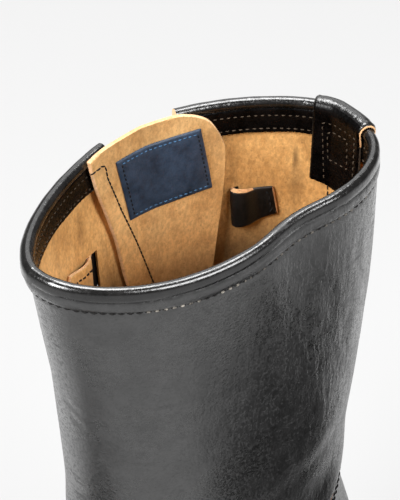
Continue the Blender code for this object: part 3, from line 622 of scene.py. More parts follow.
def black_leather(name, colour, low_gloss, high_gloss, grain, wrinkle, ior=1.85):
    stuff = finish(name, colour, 0.4, IOR=ior)
    dark, light = (tuple(share * c for c in colour) for share in (0.3, 2.4))
    tint(stuff, cloud(stuff, 130, detail=8, roughness=0.8), (0.4, dark), (0.6, light))
    polish(stuff, cloud(stuff, 28, detail=5), low_gloss, high_gloss)
    roughen(stuff, between(stuff, cloud(stuff, 850, detail=3, roughness=0.7), 0.48, 0.64, 0.0, 4 * grain))
    emboss(stuff, pebbles(stuff, 950, feature="SMOOTH_F1"), grain)
    emboss(stuff, cloud(stuff, 600, (1, 1, 0.8), 6, 0.7), grain)
    towards_back = along_axis(stuff, 0, -0.03, -0.13)
    pulls = between(stuff, cloud(stuff, 260, (1, 1, 0.3), 6, 0.6), 0.42, 0.58)
    emboss(stuff, times(stuff, pulls, towards_back), wrinkle)
    hairlines = between(stuff, cloud(stuff, 420, (0.14, 0.14, 1), 3, 0.5), 0.58, 0.66)
    hairlines = times(stuff, hairlines, between(stuff, cloud(stuff, 40, detail=2), 0.45, 0.65, 0.0, 0.25))
    roughen(stuff, hairlines)
    emboss(stuff, hairlines, -0.1)
    return stuff


shaft_black = black_leather("shaft_black", (0.0055, 0.0054, 0.0054), 0.22, 0.34, 0.065, 0.16)
foot_black = black_leather("foot_black", (0.0055, 0.0054, 0.0054), 0.24, 0.36, 0.05, 0.04)
trim_black = black_leather("trim_black", (0.003, 0.0028, 0.0027), 0.12, 0.22, 0.03, 0.06, ior=1.62)
strap_black = black_leather("strap_black", (0.003, 0.0027, 0.0026), 0.24, 0.38, 0.05, 0.03, ior=1.42)
facing_black = black_leather("facing_black", (0.0012, 0.0010, 0.0010), 0.16, 0.28, 0.05, 0.0, ior=1.2)
black_hides = [shaft_black, foot_black, trim_black, strap_black, facing_black]
print("black leathers:", [hide.name for hide in black_hides])

# %% [markdown]
# ## The tan inside
# Inside, the same hide shows its napped flesh side, a warm tan with darker clouds, fine pores and short
# fibres that run down the shaft. It is rough and has no gloss. Hair could make the nap, but at this
# distance stretched patterns in colour and relief look the same. The tongue is the same hide, a little
# lighter, and cut edges are lighter still.

# %% Tan leathers


def smudge(stuff, centre, radii, depth):
    """A dark mark, soft towards its edge, at a place on the boot in metres."""
    place = add_node(stuff, "ShaderNodeTexCoord")
    local = add_node(stuff, "ShaderNodeMapping", {"Location": centre, "Scale": radii}, vector_type="TEXTURE")
    ball = add_node(stuff, "ShaderNodeTexGradient", gradient_type="SPHERICAL")
    stuff.node_tree.links.new(place.outputs["Object"], local.inputs[0])
    stuff.node_tree.links.new(local.outputs[0], ball.inputs[0])
    shade(stuff, between(stuff, ball.outputs["Fac"], 0.0, 0.7, 1.0, 1 - depth))


def tan_leather(name, dark, middle, light, fibre, pores, stains=0.0):
    stuff = finish(name, middle, 0.8, Specular_IOR_Level=0.3, Sheen_Weight=0.08)
    tint(stuff, cloud(stuff, 30, (1, 1, 0.7), 9, 0.8), (0.40, dark), (0.50, middle), (0.60, light))
    shade(stuff, between(stuff, cloud(stuff, 750, (1, 1, 0.6), 3, 0.7), 0.36, 0.64, 0.82, 1.14))
    shade(stuff, between(stuff, pebbles(stuff, 420), 0.10, 0.22, 0.78, 1.0))
    shade(stuff, between(stuff, cloud(stuff, 55, (1, 1, 0.16), 5, 0.6), 0.54, 0.68, 1.0, 1 - stains))
    polish(stuff, cloud(stuff, 160, detail=3), 0.72, 0.9)
    emboss(stuff, cloud(stuff, 700, (1, 1, 0.35), 4, 0.65), fibre)
    emboss(stuff, pebbles(stuff, 900), pores)
    return stuff


lining_tan = tan_leather(
    "lining_tan", (0.45, 0.225, 0.066), (0.60, 0.325, 0.108), (0.71, 0.405, 0.148), 0.26, 0.06, 0.3,
)
tongue_tan = tan_leather(
    "tongue_tan", (0.50, 0.265, 0.090), (0.61, 0.345, 0.130), (0.70, 0.42, 0.17), 0.16, 0.04, 0.15,
)
# painted shade: deeper in the shaft the lining and the tongue are painted darker, for the light that
# hardly reaches down there; the tongue is also painted lighter low down and darker at its top, for how
# the light falls on it
shade(lining_tan, between(lining_tan, along_axis(lining_tan, 2, 0.226, 0.247), 0, 1, 0.32, 1.0))
shade(tongue_tan, between(tongue_tan, along_axis(tongue_tan, 2, 0.218, 0.239), 0, 1, 0.40, 1.0))
shade(tongue_tan, between(tongue_tan, along_axis(tongue_tan, 2, 0.240, 0.285), 0, 1, 1.15, 0.95))
# wear has left a few marks
smudge(lining_tan, (-0.1370, -0.0156, 0.2700), (0.0014, 0.0016, 0.0085), 0.55)
smudge(lining_tan, (-0.1377, -0.0150, 0.2570), (0.0042, 0.0046, 0.0140), 0.28)
smudge(lining_tan, (-0.0430, -0.0350, 0.2700), (0.0030, 0.0030, 0.0110), 0.22)
edge_tan = tan_leather("edge_tan", (0.52, 0.27, 0.12), (0.64, 0.38, 0.19), (0.72, 0.46, 0.26), 0.2, 0.05)
edge_brown = tan_leather(
    "edge_brown", (0.10, 0.045, 0.02), (0.16, 0.075, 0.035), (0.22, 0.11, 0.055), 0.15, 0.05,
)
print("tan leathers:", lining_tan.name, tongue_tan.name, edge_tan.name, edge_brown.name)

# %% [markdown]
# ## The other finishes
# The patch is a dyed blue leather with a dull grain. The sole's edges are inked leather, its underside is
# rubber, and the buckles are steel with a nickel plate. An even colour would look like plastic, so each
# of these gets a pattern for its colour, its gloss or its relief. Only the painted shade of a slot is even.

# %% Patch, sole and metal
patch_blue = finish("patch_blue", (0.020, 0.040, 0.080), 0.5)
blotches = cloud(patch_blue, 120, detail=8, roughness=0.75)
tint(patch_blue, blotches, (0.38, (0.006, 0.017, 0.035)), (0.62, (0.025, 0.047, 0.086)))
polish(patch_blue, cloud(patch_blue, 60), 0.42, 0.6)
emboss(patch_blue, pebbles(patch_blue, 1700, feature="SMOOTH_F1"), 0.06)
emboss(patch_blue, cloud(patch_blue, 300, detail=5), 0.05)

inked_edge = finish("inked_edge", (0.020, 0.015, 0.012), 0.42)
ink_lines = cloud(inked_edge, 90, (1, 1, 6), 6)
tint(inked_edge, ink_lines, (0.3, (0.014, 0.011, 0.009)), (0.7, (0.035, 0.026, 0.020)))
emboss(inked_edge, cloud(inked_edge, 350, (1, 1, 5), 5), 0.12)
polish(inked_edge, cloud(inked_edge, 50), 0.34, 0.5)

black_rubber = finish("black_rubber", (0.014, 0.014, 0.014), 0.62)
bloom = cloud(black_rubber, 140, detail=5)
tint(black_rubber, bloom, (0.3, (0.010, 0.010, 0.010)), (0.7, (0.022, 0.021, 0.020)))
polish(black_rubber, cloud(black_rubber, 80), 0.52, 0.7)
emboss(black_rubber, cloud(black_rubber, 900, detail=3), 0.05)

nickel = finish("nickel", (0.62, 0.60, 0.57), 0.24, Metallic=1.0)
polish(nickel, cloud(nickel, 220, (1, 1, 0.2), 5), 0.18, 0.34)
emboss(nickel, cloud(nickel, 600, detail=3), 0.015)

# painted shade for the strap's back inside its slot, where the light doesn't reach
slot_painted_shade = finish("slot_painted_shade", (0.004, 0.003, 0.003), 0.9, Specular_IOR_Level=0.1)
worn_edge = finish("worn_edge", (0.012, 0.010, 0.009), 0.5)
tint(worn_edge, cloud(worn_edge, 260, detail=4), (0.57, (0.010, 0.008, 0.007)), (0.66, (0.42, 0.24, 0.11)))
other_finishes = [patch_blue, inked_edge, black_rubber, nickel, slot_painted_shade, worn_edge]
print("other finishes:", [stuff.name for stuff in other_finishes])

# %% [markdown]
# ## Thread
# The thread is waxed cotton: black on most seams, tan on the welt, duller on the facing and blue on the
# patch. The collar's row is painted pale in specks, partly painted glints of the thread and partly wear
# where hands pull the boot on, and a mask along the boot sets where. With the gloss of leather the rows
# would sparkle, so their shine is turned down.

# %% Thread


def thread_finish(name, colour):
    stuff = finish(name, colour, 0.7, Specular_IOR_Level=0.15)
    tint(stuff, cloud(stuff, 500, detail=2), (0.3, tuple(0.6 * c for c in colour)), (0.7, colour))
    emboss(stuff, cloud(stuff, 2500, (1, 1, 0.4), 2), 0.08)
    return stuff


black_thread = thread_finish("black_thread", (0.012, 0.011, 0.011))
waxed_thread = thread_finish("waxed_thread", (0.24, 0.17, 0.105))
dull_thread = thread_finish("dull_thread", (0.085, 0.062, 0.042))
collar_thread = thread_finish("collar_thread", (0.012, 0.011, 0.011))
# painted glints and wear: the collar's black thread is painted pale in specks, fading along the boot
glints_and_wear = between(collar_thread, cloud(collar_thread, 260, detail=2), 0.40, 0.56)
glints_and_wear = times(collar_thread, glints_and_wear, along_axis(collar_thread, 0, -0.014, -0.028))
glint_and_wear_fade = between(collar_thread, along_axis(collar_thread, 0, -0.045, -0.065), 0, 1, 1.0, 0.45)
glints_and_wear = times(collar_thread, glints_and_wear, glint_and_wear_fade)
tint(collar_thread, glints_and_wear, (0.15, (0.012, 0.011, 0.011)), (0.9, (0.34, 0.31, 0.27)))
blue_thread = thread_finish("blue_thread", (0.055, 0.13, 0.24))
threads = [black_thread, waxed_thread, dull_thread, collar_thread, blue_thread]
print("threads:", [thread.name for thread in threads])

# %% [markdown]
# ## Paper
# The floor and the cards are dull paper that glows a little. Lamps aimed at them would do the same, but
# an emission is even from edge to edge. The strengths are what the wall's reflections need.

# %% Paper
FLOOR_GLOW = 0.61
PAPER_GREY = (0.12, 0.12, 0.12)


def glowing_paper(name, glow):
    paper = finish(name, PAPER_GREY, 0.9, Emission_Strength=glow)
    paper.node_tree.nodes["Principled BSDF"].inputs["Emission Color"].default_value = (1.0, 1.0, 1.0, 1.0)
    return paper


floor.data.materials.append(glowing_paper("pale_floor", FLOOR_GLOW))
black_card.data.materials.append(finish("black_paper", (0.01, 0.01, 0.01), 0.9))
for card in FLOOR_CARDS:
    bpy.data.meshes[card.name].materials.append(glowing_paper(card.name, card.glow))
print("materials:", len(bpy.data.materials))

# %% [markdown]
# ## Sewing
# A row of stitches is many short bits of thread, each arched a little and dipping into its holes. One
# small capsule is written as arrays and repeated along a path, so a whole row is a single mesh. The path
# is any dense line of points with the leather's outward direction at each.

# %% A row of stitches
CAPSULE_ALONG = np.array([-1.0, -0.72, -0.3, 0.3, 0.72, 1.0])
CAPSULE_GIRTH = np.array([0.45, 0.85, 1.0, 1.0, 0.85, 0.45])
CAPSULE_LIFT = np.array([-1.1, -0.1, 0.35, 0.35, -0.1, -1.1])
CAPSULE_SIDES = 6


def unit(v):
    return v / (np.linalg.norm(v, axis=-1, keepdims=True) + 1e-12)


def stitch_points(path, normal, pitch, girth, fill):
    """Points of the stitches along one path, capsule by capsule."""
    reach = np.append(0.0, np.cumsum(np.linalg.norm(np.diff(path, axis=0), axis=1)))
    count = max(1, int(reach[-1] / pitch))
    at = (np.arange(count) + 0.5) * reach[-1] / count
    half = fill * reach[-1] / count / 2

    def read(values, where):
        return np.stack([np.interp(where, reach, values[:, i]) for i in range(3)], -1)

    centre, out = read(path, at), unit(read(normal, at))
    ahead = unit(read(path, at + half) - read(path, at - half))
    side = unit(np.cross(out, ahead))
    angle = np.linspace(0, 2 * math.pi, CAPSULE_SIDES, endpoint=False)
    ring = np.cos(angle)[:, None, None] * side + np.sin(angle)[:, None, None] * out
    body = centre + CAPSULE_ALONG[:, None, None] * half * ahead + CAPSULE_LIFT[:, None, None] * girth * out
    made = body[:, None] + CAPSULE_GIRTH[:, None, None, None] * girth * ring[None]
    return np.moveaxis(made, 2, 0)


def sew(name, rows, stuff, pitch=2.6, girth=0.42, fill=0.8):
    """One piece of thread work from rows of (path, normal)."""
    capsules = np.concatenate([stitch_points(path, normal, pitch, girth, fill) for path, normal in rows])
    count, rings, sides = capsules.shape[:3]
    one = np.arange(rings * sides).reshape(rings, sides)
    skin = np.array(quads(np.concatenate([one, one[:, :1]], 1)))
    starts = np.arange(count) * rings * sides
    faces = (skin[None] + starts[:, None, None]).reshape(-1, 4).tolist()
    caps = np.stack([one[0], one[-1][::-1]])
    faces += (caps[None] + starts[:, None, None]).reshape(-1, sides).tolist()
    return add_piece(name, capsules, faces, [stuff], [0] * len(faces))


def wall_row(u, level, out, inside=False):
    """A path on the wall with its outward direction, or inward inside the shaft."""
    u, level, out = np.broadcast_arrays(*(np.asarray(v, float) for v in (u, level, out)))
    normal = wall_frame(u, level)[2]
    return skin_point(u, level) + out[..., None] * normal, -normal if inside else normal


print("a stitch has", len(CAPSULE_ALONG) * CAPSULE_SIDES, "points")

# %% [markdown]
# ## The shaft's creases
# Leather this thick doesn't crumple: it keeps a few broad folds at the ankle, where the foot bends, and
# soft waves higher up. Noise would give folds that mean nothing, so each fold is placed one by one, from
# one point of the wall to another, as a trough with a low ridge on both sides.

# %% Folds placed one by one
SHAFT_GIRTH = 375.0              # millimetres for one unit of u, about the middle of the shaft
LEVEL_RISE = 2.9                 # millimetres for one level there

Crease = namedtuple("Crease", "u level to_u to_level width depth")
SHAFT_CREASES = [
    Crease(0.93, 46.5, 1.08, 42.5, 5.0, 0.9),
    Crease(0.90, 53.0, 1.05, 50.0, 6.0, 0.55),
    Crease(0.09, 42.5, 0.32, 46.5, 7.0, 0.8),
    Crease(0.20, 50.0, 0.40, 57.0, 7.0, 0.45),
    Crease(0.33, 88.0, 0.36, 58.0, 8.0, 0.35),
    Crease(0.40, 93.0, 0.41, 70.0, 6.0, 0.40),
    Crease(0.358, 93.5, 0.378, 81.0, 2.2, 0.30),
    Crease(0.322, 89.0, 0.330, 78.0, 2.4, 0.22),
    Crease(0.345, 80.0, 0.356, 70.0, 2.4, 0.25),
    Crease(0.05, 70.0, 0.22, 66.0, 9.0, 0.30),
    Crease(0.118, 77.6, 0.162, 77.6, 2.0, 0.13),
    Crease(0.126, 80.4, 0.160, 81.2, 2.0, 0.11),
    Crease(0.090, 75.8, 0.116, 76.0, 2.0, 0.11),
    Crease(0.004, 79.0, 0.036, 76.6, 2.0, 0.22),
    Crease(0.008, 76.4, 0.040, 74.2, 2.0, 0.22),
    Crease(0.62, 47.0, 0.86, 42.0, 7.0, 0.8),
    Crease(0.60, 56.0, 0.74, 52.0, 7.0, 0.45),
    Crease(0.58, 74.0, 0.61, 58.0, 7.0, 0.35),
]


def crease_relief(creases, u, level):
    """Millimetres that the folds raise or lower the leather."""
    relief = np.zeros(np.broadcast(u, level).shape)
    for crease in creases:
        across = (crease.to_u - crease.u) * SHAFT_GIRTH
        climb = (crease.to_level - crease.level) * LEVEL_RISE
        x = ((u - crease.u + 0.5 - across / SHAFT_GIRTH / 2) % 1 - 0.5) * SHAFT_GIRTH + across / 2
        y = (level - crease.level) * LEVEL_RISE
        length = math.hypot(across, climb)
        t = (x * across + y * climb) / length**2
        bow = 0.08 * length * (1 - (2 * np.clip(t, 0, 1) - 1) ** 2)
        off = np.hypot(x - np.clip(t, 0, 1) * across, y - np.clip(t, 0, 1) * climb)
        off = off * np.sign(x * climb - y * across) - bow
        taper = smooth_step(np.minimum(t, 1 - t) / 0.35 + 0.1)
        trough = np.exp(-((off / crease.width) ** 2))
        ridge = np.exp(-(((abs(off) - 1.9 * crease.width) / crease.width) ** 2))
        relief += crease.depth * taper * (0.4 * ridge - trough)
    return relief


print("folds on the shaft:", len(SHAFT_CREASES))

# %% [markdown]
# ## The shaft's soft forms
# Over the folds lie the large, soft forms. The leather sags over the counter's edge on both sides of the
# backstay, the band under the collar swells, its seam pulls the hide in, and the front is a little
# hollow. Sculpting would do for one boot, but the terms of a formula can be measured and changed one at a
# time.

# %% The shaft's soft forms
Line = namedtuple("Line", "x z")
COUNTER_LINE = [
    Line(-150, 144), Line(-138, 141), Line(-126, 132), Line(-110, 111.5), Line(-92, 80.5), Line(-76, 57),
]
COLLAR_SEAM = 97.45              # level of the stitches under the rolled collar
SAG_INNER, SAG_OUTER = 3.3, 2.4  # how far the leather sags on the inner and the outer side
SAG_FULL, SAG_FADE = 7.5, 21.0   # it is full up to this height over the counter's edge, then fades
SEAM_PULL, BAND_STEP, BAND_SWELL, RIM_TUCK = 0.45, 0.35, 0.35, 0.8
FRONT_HOLLOW = 1.1


def slump(u, level):
    """The shaft's leather sags over the upper edge of the heel counter, on both sides of the backstay."""
    place = skin_point(u, level)
    line_x = np.clip(place[..., 0], COUNTER_LINE[0].x, COUNTER_LINE[-1].x)
    above = place[..., 2] - column(COUNTER_LINE, "z", line_x)
    from_front = np.minimum(u % 1, 1 - u % 1)
    sides = smooth_step((from_front - 0.315) / 0.075) * smooth_step((0.452 - from_front) / 0.035)
    fade = np.exp(-((np.maximum(above - SAG_FULL, 0) / SAG_FADE) ** 2))
    roll = np.where(u % 1 < 0.5, SAG_INNER, SAG_OUTER) * fade
    return sides * smooth_step(above / 6) * roll


def shaft_relief(u, level):
    seam = -SEAM_PULL * np.exp(-(((level - COLLAR_SEAM) / 0.3) ** 2))
    band = BAND_STEP * smooth_step((level - COLLAR_SEAM) / 0.5)
    in_band = np.clip((level - COLLAR_SEAM) / (100 - COLLAR_SEAM), 0, 1)
    swell = BAND_SWELL * np.sin(math.pi * in_band)
    tuck = -RIM_TUCK * smooth_step((level - 99.3) / 0.7)
    waves = 0.18 * np.sin(2 * math.pi * (5 * u + 0.013 * level)) * smooth_step((level - 45) / 15)
    front = np.exp(-((((u - 0.95 + 0.5) % 1 - 0.5) / 0.09) ** 2))
    waves = waves - FRONT_HOLLOW * front * smooth_step((level - 70) / 15) * smooth_step((99 - level) / 4)
    return seam + band + swell + tuck + waves + slump(u, level) + crease_relief(SHAFT_CREASES, u, level)


print("sag beside the backstay:", np.round(slump(np.array([0.4, 0.6]), np.array([52.0, 52.0])), 1), "mm")

# %% [markdown]
# ## The shaft's skin and lining
# The wall is one hide, black outside and tan inside, so it is made as two thin closed skins that lie back
# to back. Both open at a V-shaped slit on the outer side. A Boolean could cut the slit, but drawing the
# rows back from it leaves clean edges. `c` runs from the slit's front edge once round the boot to its back
# edge, and below the slit the two ends of each row are one point.

# %% The slit and a skin
SLIT_U, SLIT_LEVEL = 0.733, 66.0
SLIT_FRONT_U, SLIT_BACK_U, SLIT_REACH = 0.7714, 0.6956, 0.12


def round_the_shaft(c, level):
    """u along a row of the shaft, with the places beside the slit drawn back from it."""
    opening = np.clip((level - SLIT_LEVEL) / (100.0 - SLIT_LEVEL), 0.0, 1.0) ** 0.75
    front = opening * (SLIT_FRONT_U - SLIT_U) * np.clip(1 - c / SLIT_REACH, 0, 1)
    back = opening * (SLIT_BACK_U - SLIT_U) * np.clip(1 - (1 - c) / SLIT_REACH, 0, 1)
    return SLIT_U + c + front + back


def shaft_skin(name, rows, columns, skip, face_out, back_out, relief, finishes, stands_for=()):
    """A closed skin of the whole wall; its hidden back has only every skip-th row of the face."""
    levels = np.linspace(0, 100, rows)
    level = np.broadcast_to(levels[:, None], (rows, columns))
    u = round_the_shaft(np.linspace(0, 1, columns), level)
    face = wall_point(u, level, face_out + relief(u, level))
    back = wall_point(u[::skip], level[::skip], back_out)
    index = np.arange(rows * columns).reshape(rows, columns)
    back_index = np.arange(len(back) * columns).reshape(len(back), columns) + rows * columns
    seam = int(np.sum(levels <= SLIT_LEVEL + 1e-6))
    back_seam = (seam - 1) // skip + 1
    index[:seam, -1] = index[:seam, 0]
    back_index[:back_seam, -1] = back_index[:back_seam, 0]
    faces = quads(index) + quads(back_index)
    which = [0] * (rows - 1) * (columns - 1) + [1] * (len(back) - 1) * (columns - 1)
    edges = quads(np.stack([index[0], back_index[0]])) + quads(np.stack([index[-1], back_index[-1]]))
    for j in range(back_seam - 1, len(back) - 1):
        for side in (0, -1):
            run = index[j * skip:(j + 1) * skip + 1, side].tolist()
            edges.append(run + [int(back_index[j + 1, side]), int(back_index[j, side])])
    points = np.concatenate([face.reshape(-1, 3), back.reshape(-1, 3)])
    which += [2] * len(edges)
    return add_piece(name, points, faces + edges, finishes, which, stands_for)


print("the slit opens by", round(360 * (SLIT_FRONT_U - SLIT_BACK_U)), "degrees of the collar")

# %% [markdown]
# ## Outside and lining
# The outside takes the folds and the soft forms, and the lining only slow waves. Their hidden backs meet
# inside the wall, so from the collar the wall reads as one hide with its true thickness. One mesh would
# do, but each side needs its own slot in the record.

# %% Outside and lining
SKIN_BACK, LINING_BACK = -1.0, -1.2   # where the black skin ends and where the tan one begins


def lining_relief(u, level):
    broad = 0.25 * np.sin(2 * math.pi * (7 * u + 0.02 * level))
    fine = 0.15 * np.sin(2 * math.pi * (13 * u - 0.03 * level))
    return (broad + fine) * smooth_step((level - 20) / 20) * smooth_step((96 - level) / 8) - 0.1


shaft_outside = shaft_skin(
    "shaft_outside", 301, 262, 6, 0.0, SKIN_BACK, shaft_relief,
    [shaft_black, shaft_black, worn_edge], ["upper"],
)
shaft_lining = shaft_skin(
    "shaft_lining", 201, 181, 4, -WALL, LINING_BACK, lining_relief,
    [lining_tan, lining_tan, edge_tan],
)

# %% [markdown]
# ## The bead
# A strip of softer, shinier leather is rolled over the rim into a bead. A curve with a bevel could make
# it, but a loft carries one section along the rim and lets it change on the way. Its girth wavers, as a
# hand-rolled edge does, it is plumper at the front, and its outer side hangs a little over the wall.

# %% The bead
BEAD_RADIUS, BEAD_FOOT, RIM_RISE, FACING = 2.4, 1.5, 0.4, 1.2
BEAD_CENTRE = -(WALL + GAP + FACING) / 2
BEAD_HANG = 1.25                 # how far its outer side hangs down


def collar_ring(u, radius, angle, foot=None):
    """Points round the bead's centre line: angle 0 looks out of the boot, a quarter turn looks up."""
    u, radius, angle = np.broadcast_arrays(*(np.asarray(v, float) for v in (u, radius, angle)))
    out = unit(wall_frame(u, np.full_like(u, 100.0))[2] * [1, 1, 0])
    centre = skin_point(u, np.full_like(u, 100.0)) + out * BEAD_CENTRE + [0, 0, RIM_RISE + GAP + BEAD_FOOT]
    height = radius * np.sin(angle)
    if foot is not None:
        height = np.maximum(height, -foot)
    return centre + (radius * np.cos(angle))[..., None] * out + height[..., None] * np.array([0, 0, 1.0])


c = np.linspace(0, 1, 461)
rim_u = round_the_shaft(c, 100.0)[:, None]
wobble = 1 + 0.025 * np.sin(61 * c + 2 * np.sin(23 * c)) + 0.015 * np.sin(170 * c)
bead_angle = np.linspace(0, 2 * math.pi, 22, endpoint=False)
near_front = np.exp(-((((rim_u - 0.96 + 0.5) % 1 - 0.5) / 0.09) ** 2))
plump_front = 0.7 * near_front * (0.5 + 0.5 * np.cos(bead_angle))
bead = collar_ring(rim_u, BEAD_RADIUS * wobble[:, None] + plump_front, bead_angle, BEAD_FOOT + 0.35)
from_low = np.degrees((bead_angle + math.radians(42) + math.pi) % (2 * math.pi) - math.pi)
hang = np.exp(-((from_low / 20) ** 2)) * smooth_step((abs(rim_u % 1 - 0.508) - 0.062) / 0.03)
bead_out = unit(wall_frame(rim_u, np.full_like(rim_u, 100.0))[2] * [1, 1, 0])
bead = bead + hang[..., None] * (0.7 * bead_out - [0, 0, BEAD_HANG])
loft("rolled_collar", bead, [trim_black, edge_tan], ["collar_binding"])

# %% [markdown]
# ## The facing
# A black band faces the rim inside. It is a grid between two levels of the wall, one leather deeper than
# the lining. Its lower edge is bumpy and its face has two shallow grooves, because the stitches draw the
# leather in. A bump in the finish would show none of this along the edge.

# %% The facing
FACING_LEVEL = 96.0
FACING_SEAMS = (98.95, 96.6)     # levels of its two rows of stitches

across = np.linspace(0, 1, 13)[:, None]
bumpy = 0.03 * np.sin(2 * math.pi * c * 123) + 0.05 * np.sin(2 * math.pi * (c * 17 + 0.2 * np.sin(20 * c)))
band_level = FACING_LEVEL + bumpy * (1 - across) + (100.1 - FACING_LEVEL) * across
band_u = round_the_shaft(c, band_level)
plump = 0.22 * np.sin(math.pi * across)
for seam_level, spread in zip(FACING_SEAMS, (0.22, 0.2)):
    plump = plump - 0.28 * np.exp(-(((band_level - seam_level) / spread) ** 2))
leather(
    "collar_band", wall_point(band_u, band_level, -(WALL + GAP + FACING) - plump),
    wall_point(band_u, band_level, -(WALL + GAP)), [facing_black, facing_black, facing_black],
    ["collar_facing"],
)

# %% [markdown]
# ## The backstay
# A strip covers the seam up the back, folds over the collar and is sewn down inside. It is a grid whose
# rows follow that path: up the wall, round the bead and down the facing. Three pieces would need less
# thought, but they would show two seams. Its edges are inked, but the ink has worn off at the fold's near
# end, so the tan of the hide shows there.

# %% Backstay
STAY = 1.6
STAY_FOOT, STAY_INSIDE = 44.6, 87.6
STAY_FROM_U, STAY_TO_U = 0.463, 0.553
WORN_ABOVE, WORN_INWARD = 0.291, 0.01   # in metres: the ink is gone at the fold's near end

stay_u = np.linspace(STAY_FROM_U, STAY_TO_U, 27)
stay_up = np.linspace(STAY_FOOT, 99.4, 120)[:, None]
stay_turn = np.radians(np.linspace(-8, 188, 24))[:, None]
stay_down = np.linspace(99.0, STAY_INSIDE, 34)[:, None]
side = (stay_u - STAY_FROM_U) / (STAY_TO_U - STAY_FROM_U)
pressed = -0.25 * (np.exp(-(((side - 0.09) / 0.03) ** 2)) + np.exp(-(((side - 0.91) / 0.03) ** 2)))
pressed = pressed - 0.75 * np.exp(-((np.minimum(side, 1 - side) / 0.025) ** 2))   # its edges are pared thin
slant = 0.8 * side               # the inside end is cut a little aslant


def stay_layer(lift):
    up_path = wall_point(stay_u, stay_up, 2 * GAP + lift)
    over_path = collar_ring(stay_u, BEAD_RADIUS + GAP + lift, stay_turn)
    down_level = stay_down + slant * (99 - stay_down) / (99 - STAY_INSIDE)
    down_path = wall_point(stay_u, down_level, -(WALL + 2 * GAP + FACING) - lift)
    return np.concatenate([up_path, over_path, down_path])


back_strip = leather(
    "back_strip", stay_layer(STAY + pressed), stay_layer(np.zeros_like(side)),
    [trim_black, edge_tan, inked_edge, edge_tan, facing_black], ["backstay"],
)
STAY_ROWS = len(stay_up) + len(stay_turn) + len(stay_down)
inside_from = (STAY_ROWS - len(stay_down) - 8) * (len(stay_u) - 1)
outer_edge_to = 2 * (STAY_ROWS - 1) * (len(stay_u) - 1) + 2 * (STAY_ROWS + len(stay_u) - 2)
for face in back_strip.data.polygons:
    if face.material_index == 0 and face.index >= inside_from:
        face.material_index = 4
    worn_end = face.center.z > WORN_ABOVE and face.center.y > WORN_INWARD
    if face.material_index == 2 and face.index < outer_edge_to and worn_end:
        face.material_index = 3

# %% [markdown]
# ## The tongue
# Behind the slit hangs a tongue of the tan hide, rounded at the top, with a wavering cut edge. A cloth
# simulation could hang it, but stiff leather hardly drapes. So it is a grid on the wall's own function,
# and a bow lets its free top lie flatter than the wall.

# %% The tongue
TONGUE = 1.8
TONGUE_BOTTOM, TONGUE_TOP = 62.0, 101.6
TONGUE_OUT = BEAD_CENTRE - BEAD_RADIUS - GAP
Tongue = namedtuple("Tongue", "level front_u back_u")
TONGUE_EDGES = [
    Tongue(62, 0.753, 0.678), Tongue(76, 0.769, 0.668), Tongue(89, 0.784, 0.6555), Tongue(102, 0.799, 0.652),
]


def tongue_place(across, share):
    """(u, level) on the tongue: across from its front to its back edge, share from its foot to its top."""
    corner = 0.7 - 0.7 * np.clip(1 - across / 0.15, 0, 1) ** 2
    corner = corner - 5.0 * np.clip((across - 0.62) / 0.38, 0, 1) ** 2.2
    corner = corner - 2.6 * np.clip((across - 0.86) / 0.14, 0, 1) ** 2
    level = TONGUE_BOTTOM + (TONGUE_TOP + corner - TONGUE_BOTTOM) * share
    waver = 0.0016 * np.sin(level / 2.9) * (1 - across) ** 3
    front = column(TONGUE_EDGES, "front_u", level) + waver
    return front + (column(TONGUE_EDGES, "back_u", level) - front) * across, level


def tongue_bow(u, level):
    """How far the tongue leaves the wall's curve: its free top is flatter than the wall, its edges wave."""
    front = column(TONGUE_EDGES, "front_u", level)
    across = np.clip((u - front) / (column(TONGUE_EDGES, "back_u", level) - front), 0, 1)
    share = (level - TONGUE_BOTTOM) / (TONGUE_TOP - TONGUE_BOTTOM)
    flat = -3.2 * (1 - (2 * across - 1) ** 2) * smooth_step((share - 0.3) / 0.5)
    flat = flat + 1.2 * np.clip(1 - across / 0.16, 0, 1) ** 2 * smooth_step((0.78 - share) / 0.14)
    return flat + 0.5 * np.sin(2.6 * math.pi * across) * np.sin(math.pi * np.clip(share, 0, 1)) * share


across, share = np.meshgrid(np.linspace(0, 1, 57), np.linspace(0, 1, 91))
tongue_u, tongue_level = tongue_place(across, share)
bow = tongue_bow(tongue_u, tongue_level)
leather(
    "tan_tongue", wall_point(tongue_u, tongue_level, TONGUE_OUT - TONGUE + bow),
    wall_point(tongue_u, tongue_level, TONGUE_OUT + bow), [tongue_tan, tongue_tan, edge_tan],
    ["gusset_tongue"],
)

# %% [markdown]
# ## The patch
# A patch of dark blue leather is sewn on the tongue. It is bare: it carries only its grain and its border
# of stitches. It could be a colour on the tongue, but then it would have no edge. As a piece of its own
# it has pared edges, a groove where the thread lies and a soft puff in the middle.

# %% The patch
LABEL = 1.0
LABEL_TOP, LABEL_BOTTOM = 99.2, 88.1
LABEL_FRONT_U, LABEL_BACK_U, LABEL_LEAN = 0.7715, 0.6775, 0.008
LABEL_WIDTH, LABEL_HEIGHT = 43.0, 31.0
LABEL_SUNK = 0.3                 # it is pressed this far towards the tongue


def label_place(along, drop):
    """(u, level) on the patch: along from its back to its front edge, drop from its top to its foot."""
    u = LABEL_BACK_U + (LABEL_FRONT_U - LABEL_BACK_U) * along - LABEL_LEAN * drop
    return u, LABEL_TOP + (LABEL_BOTTOM - LABEL_TOP) * drop


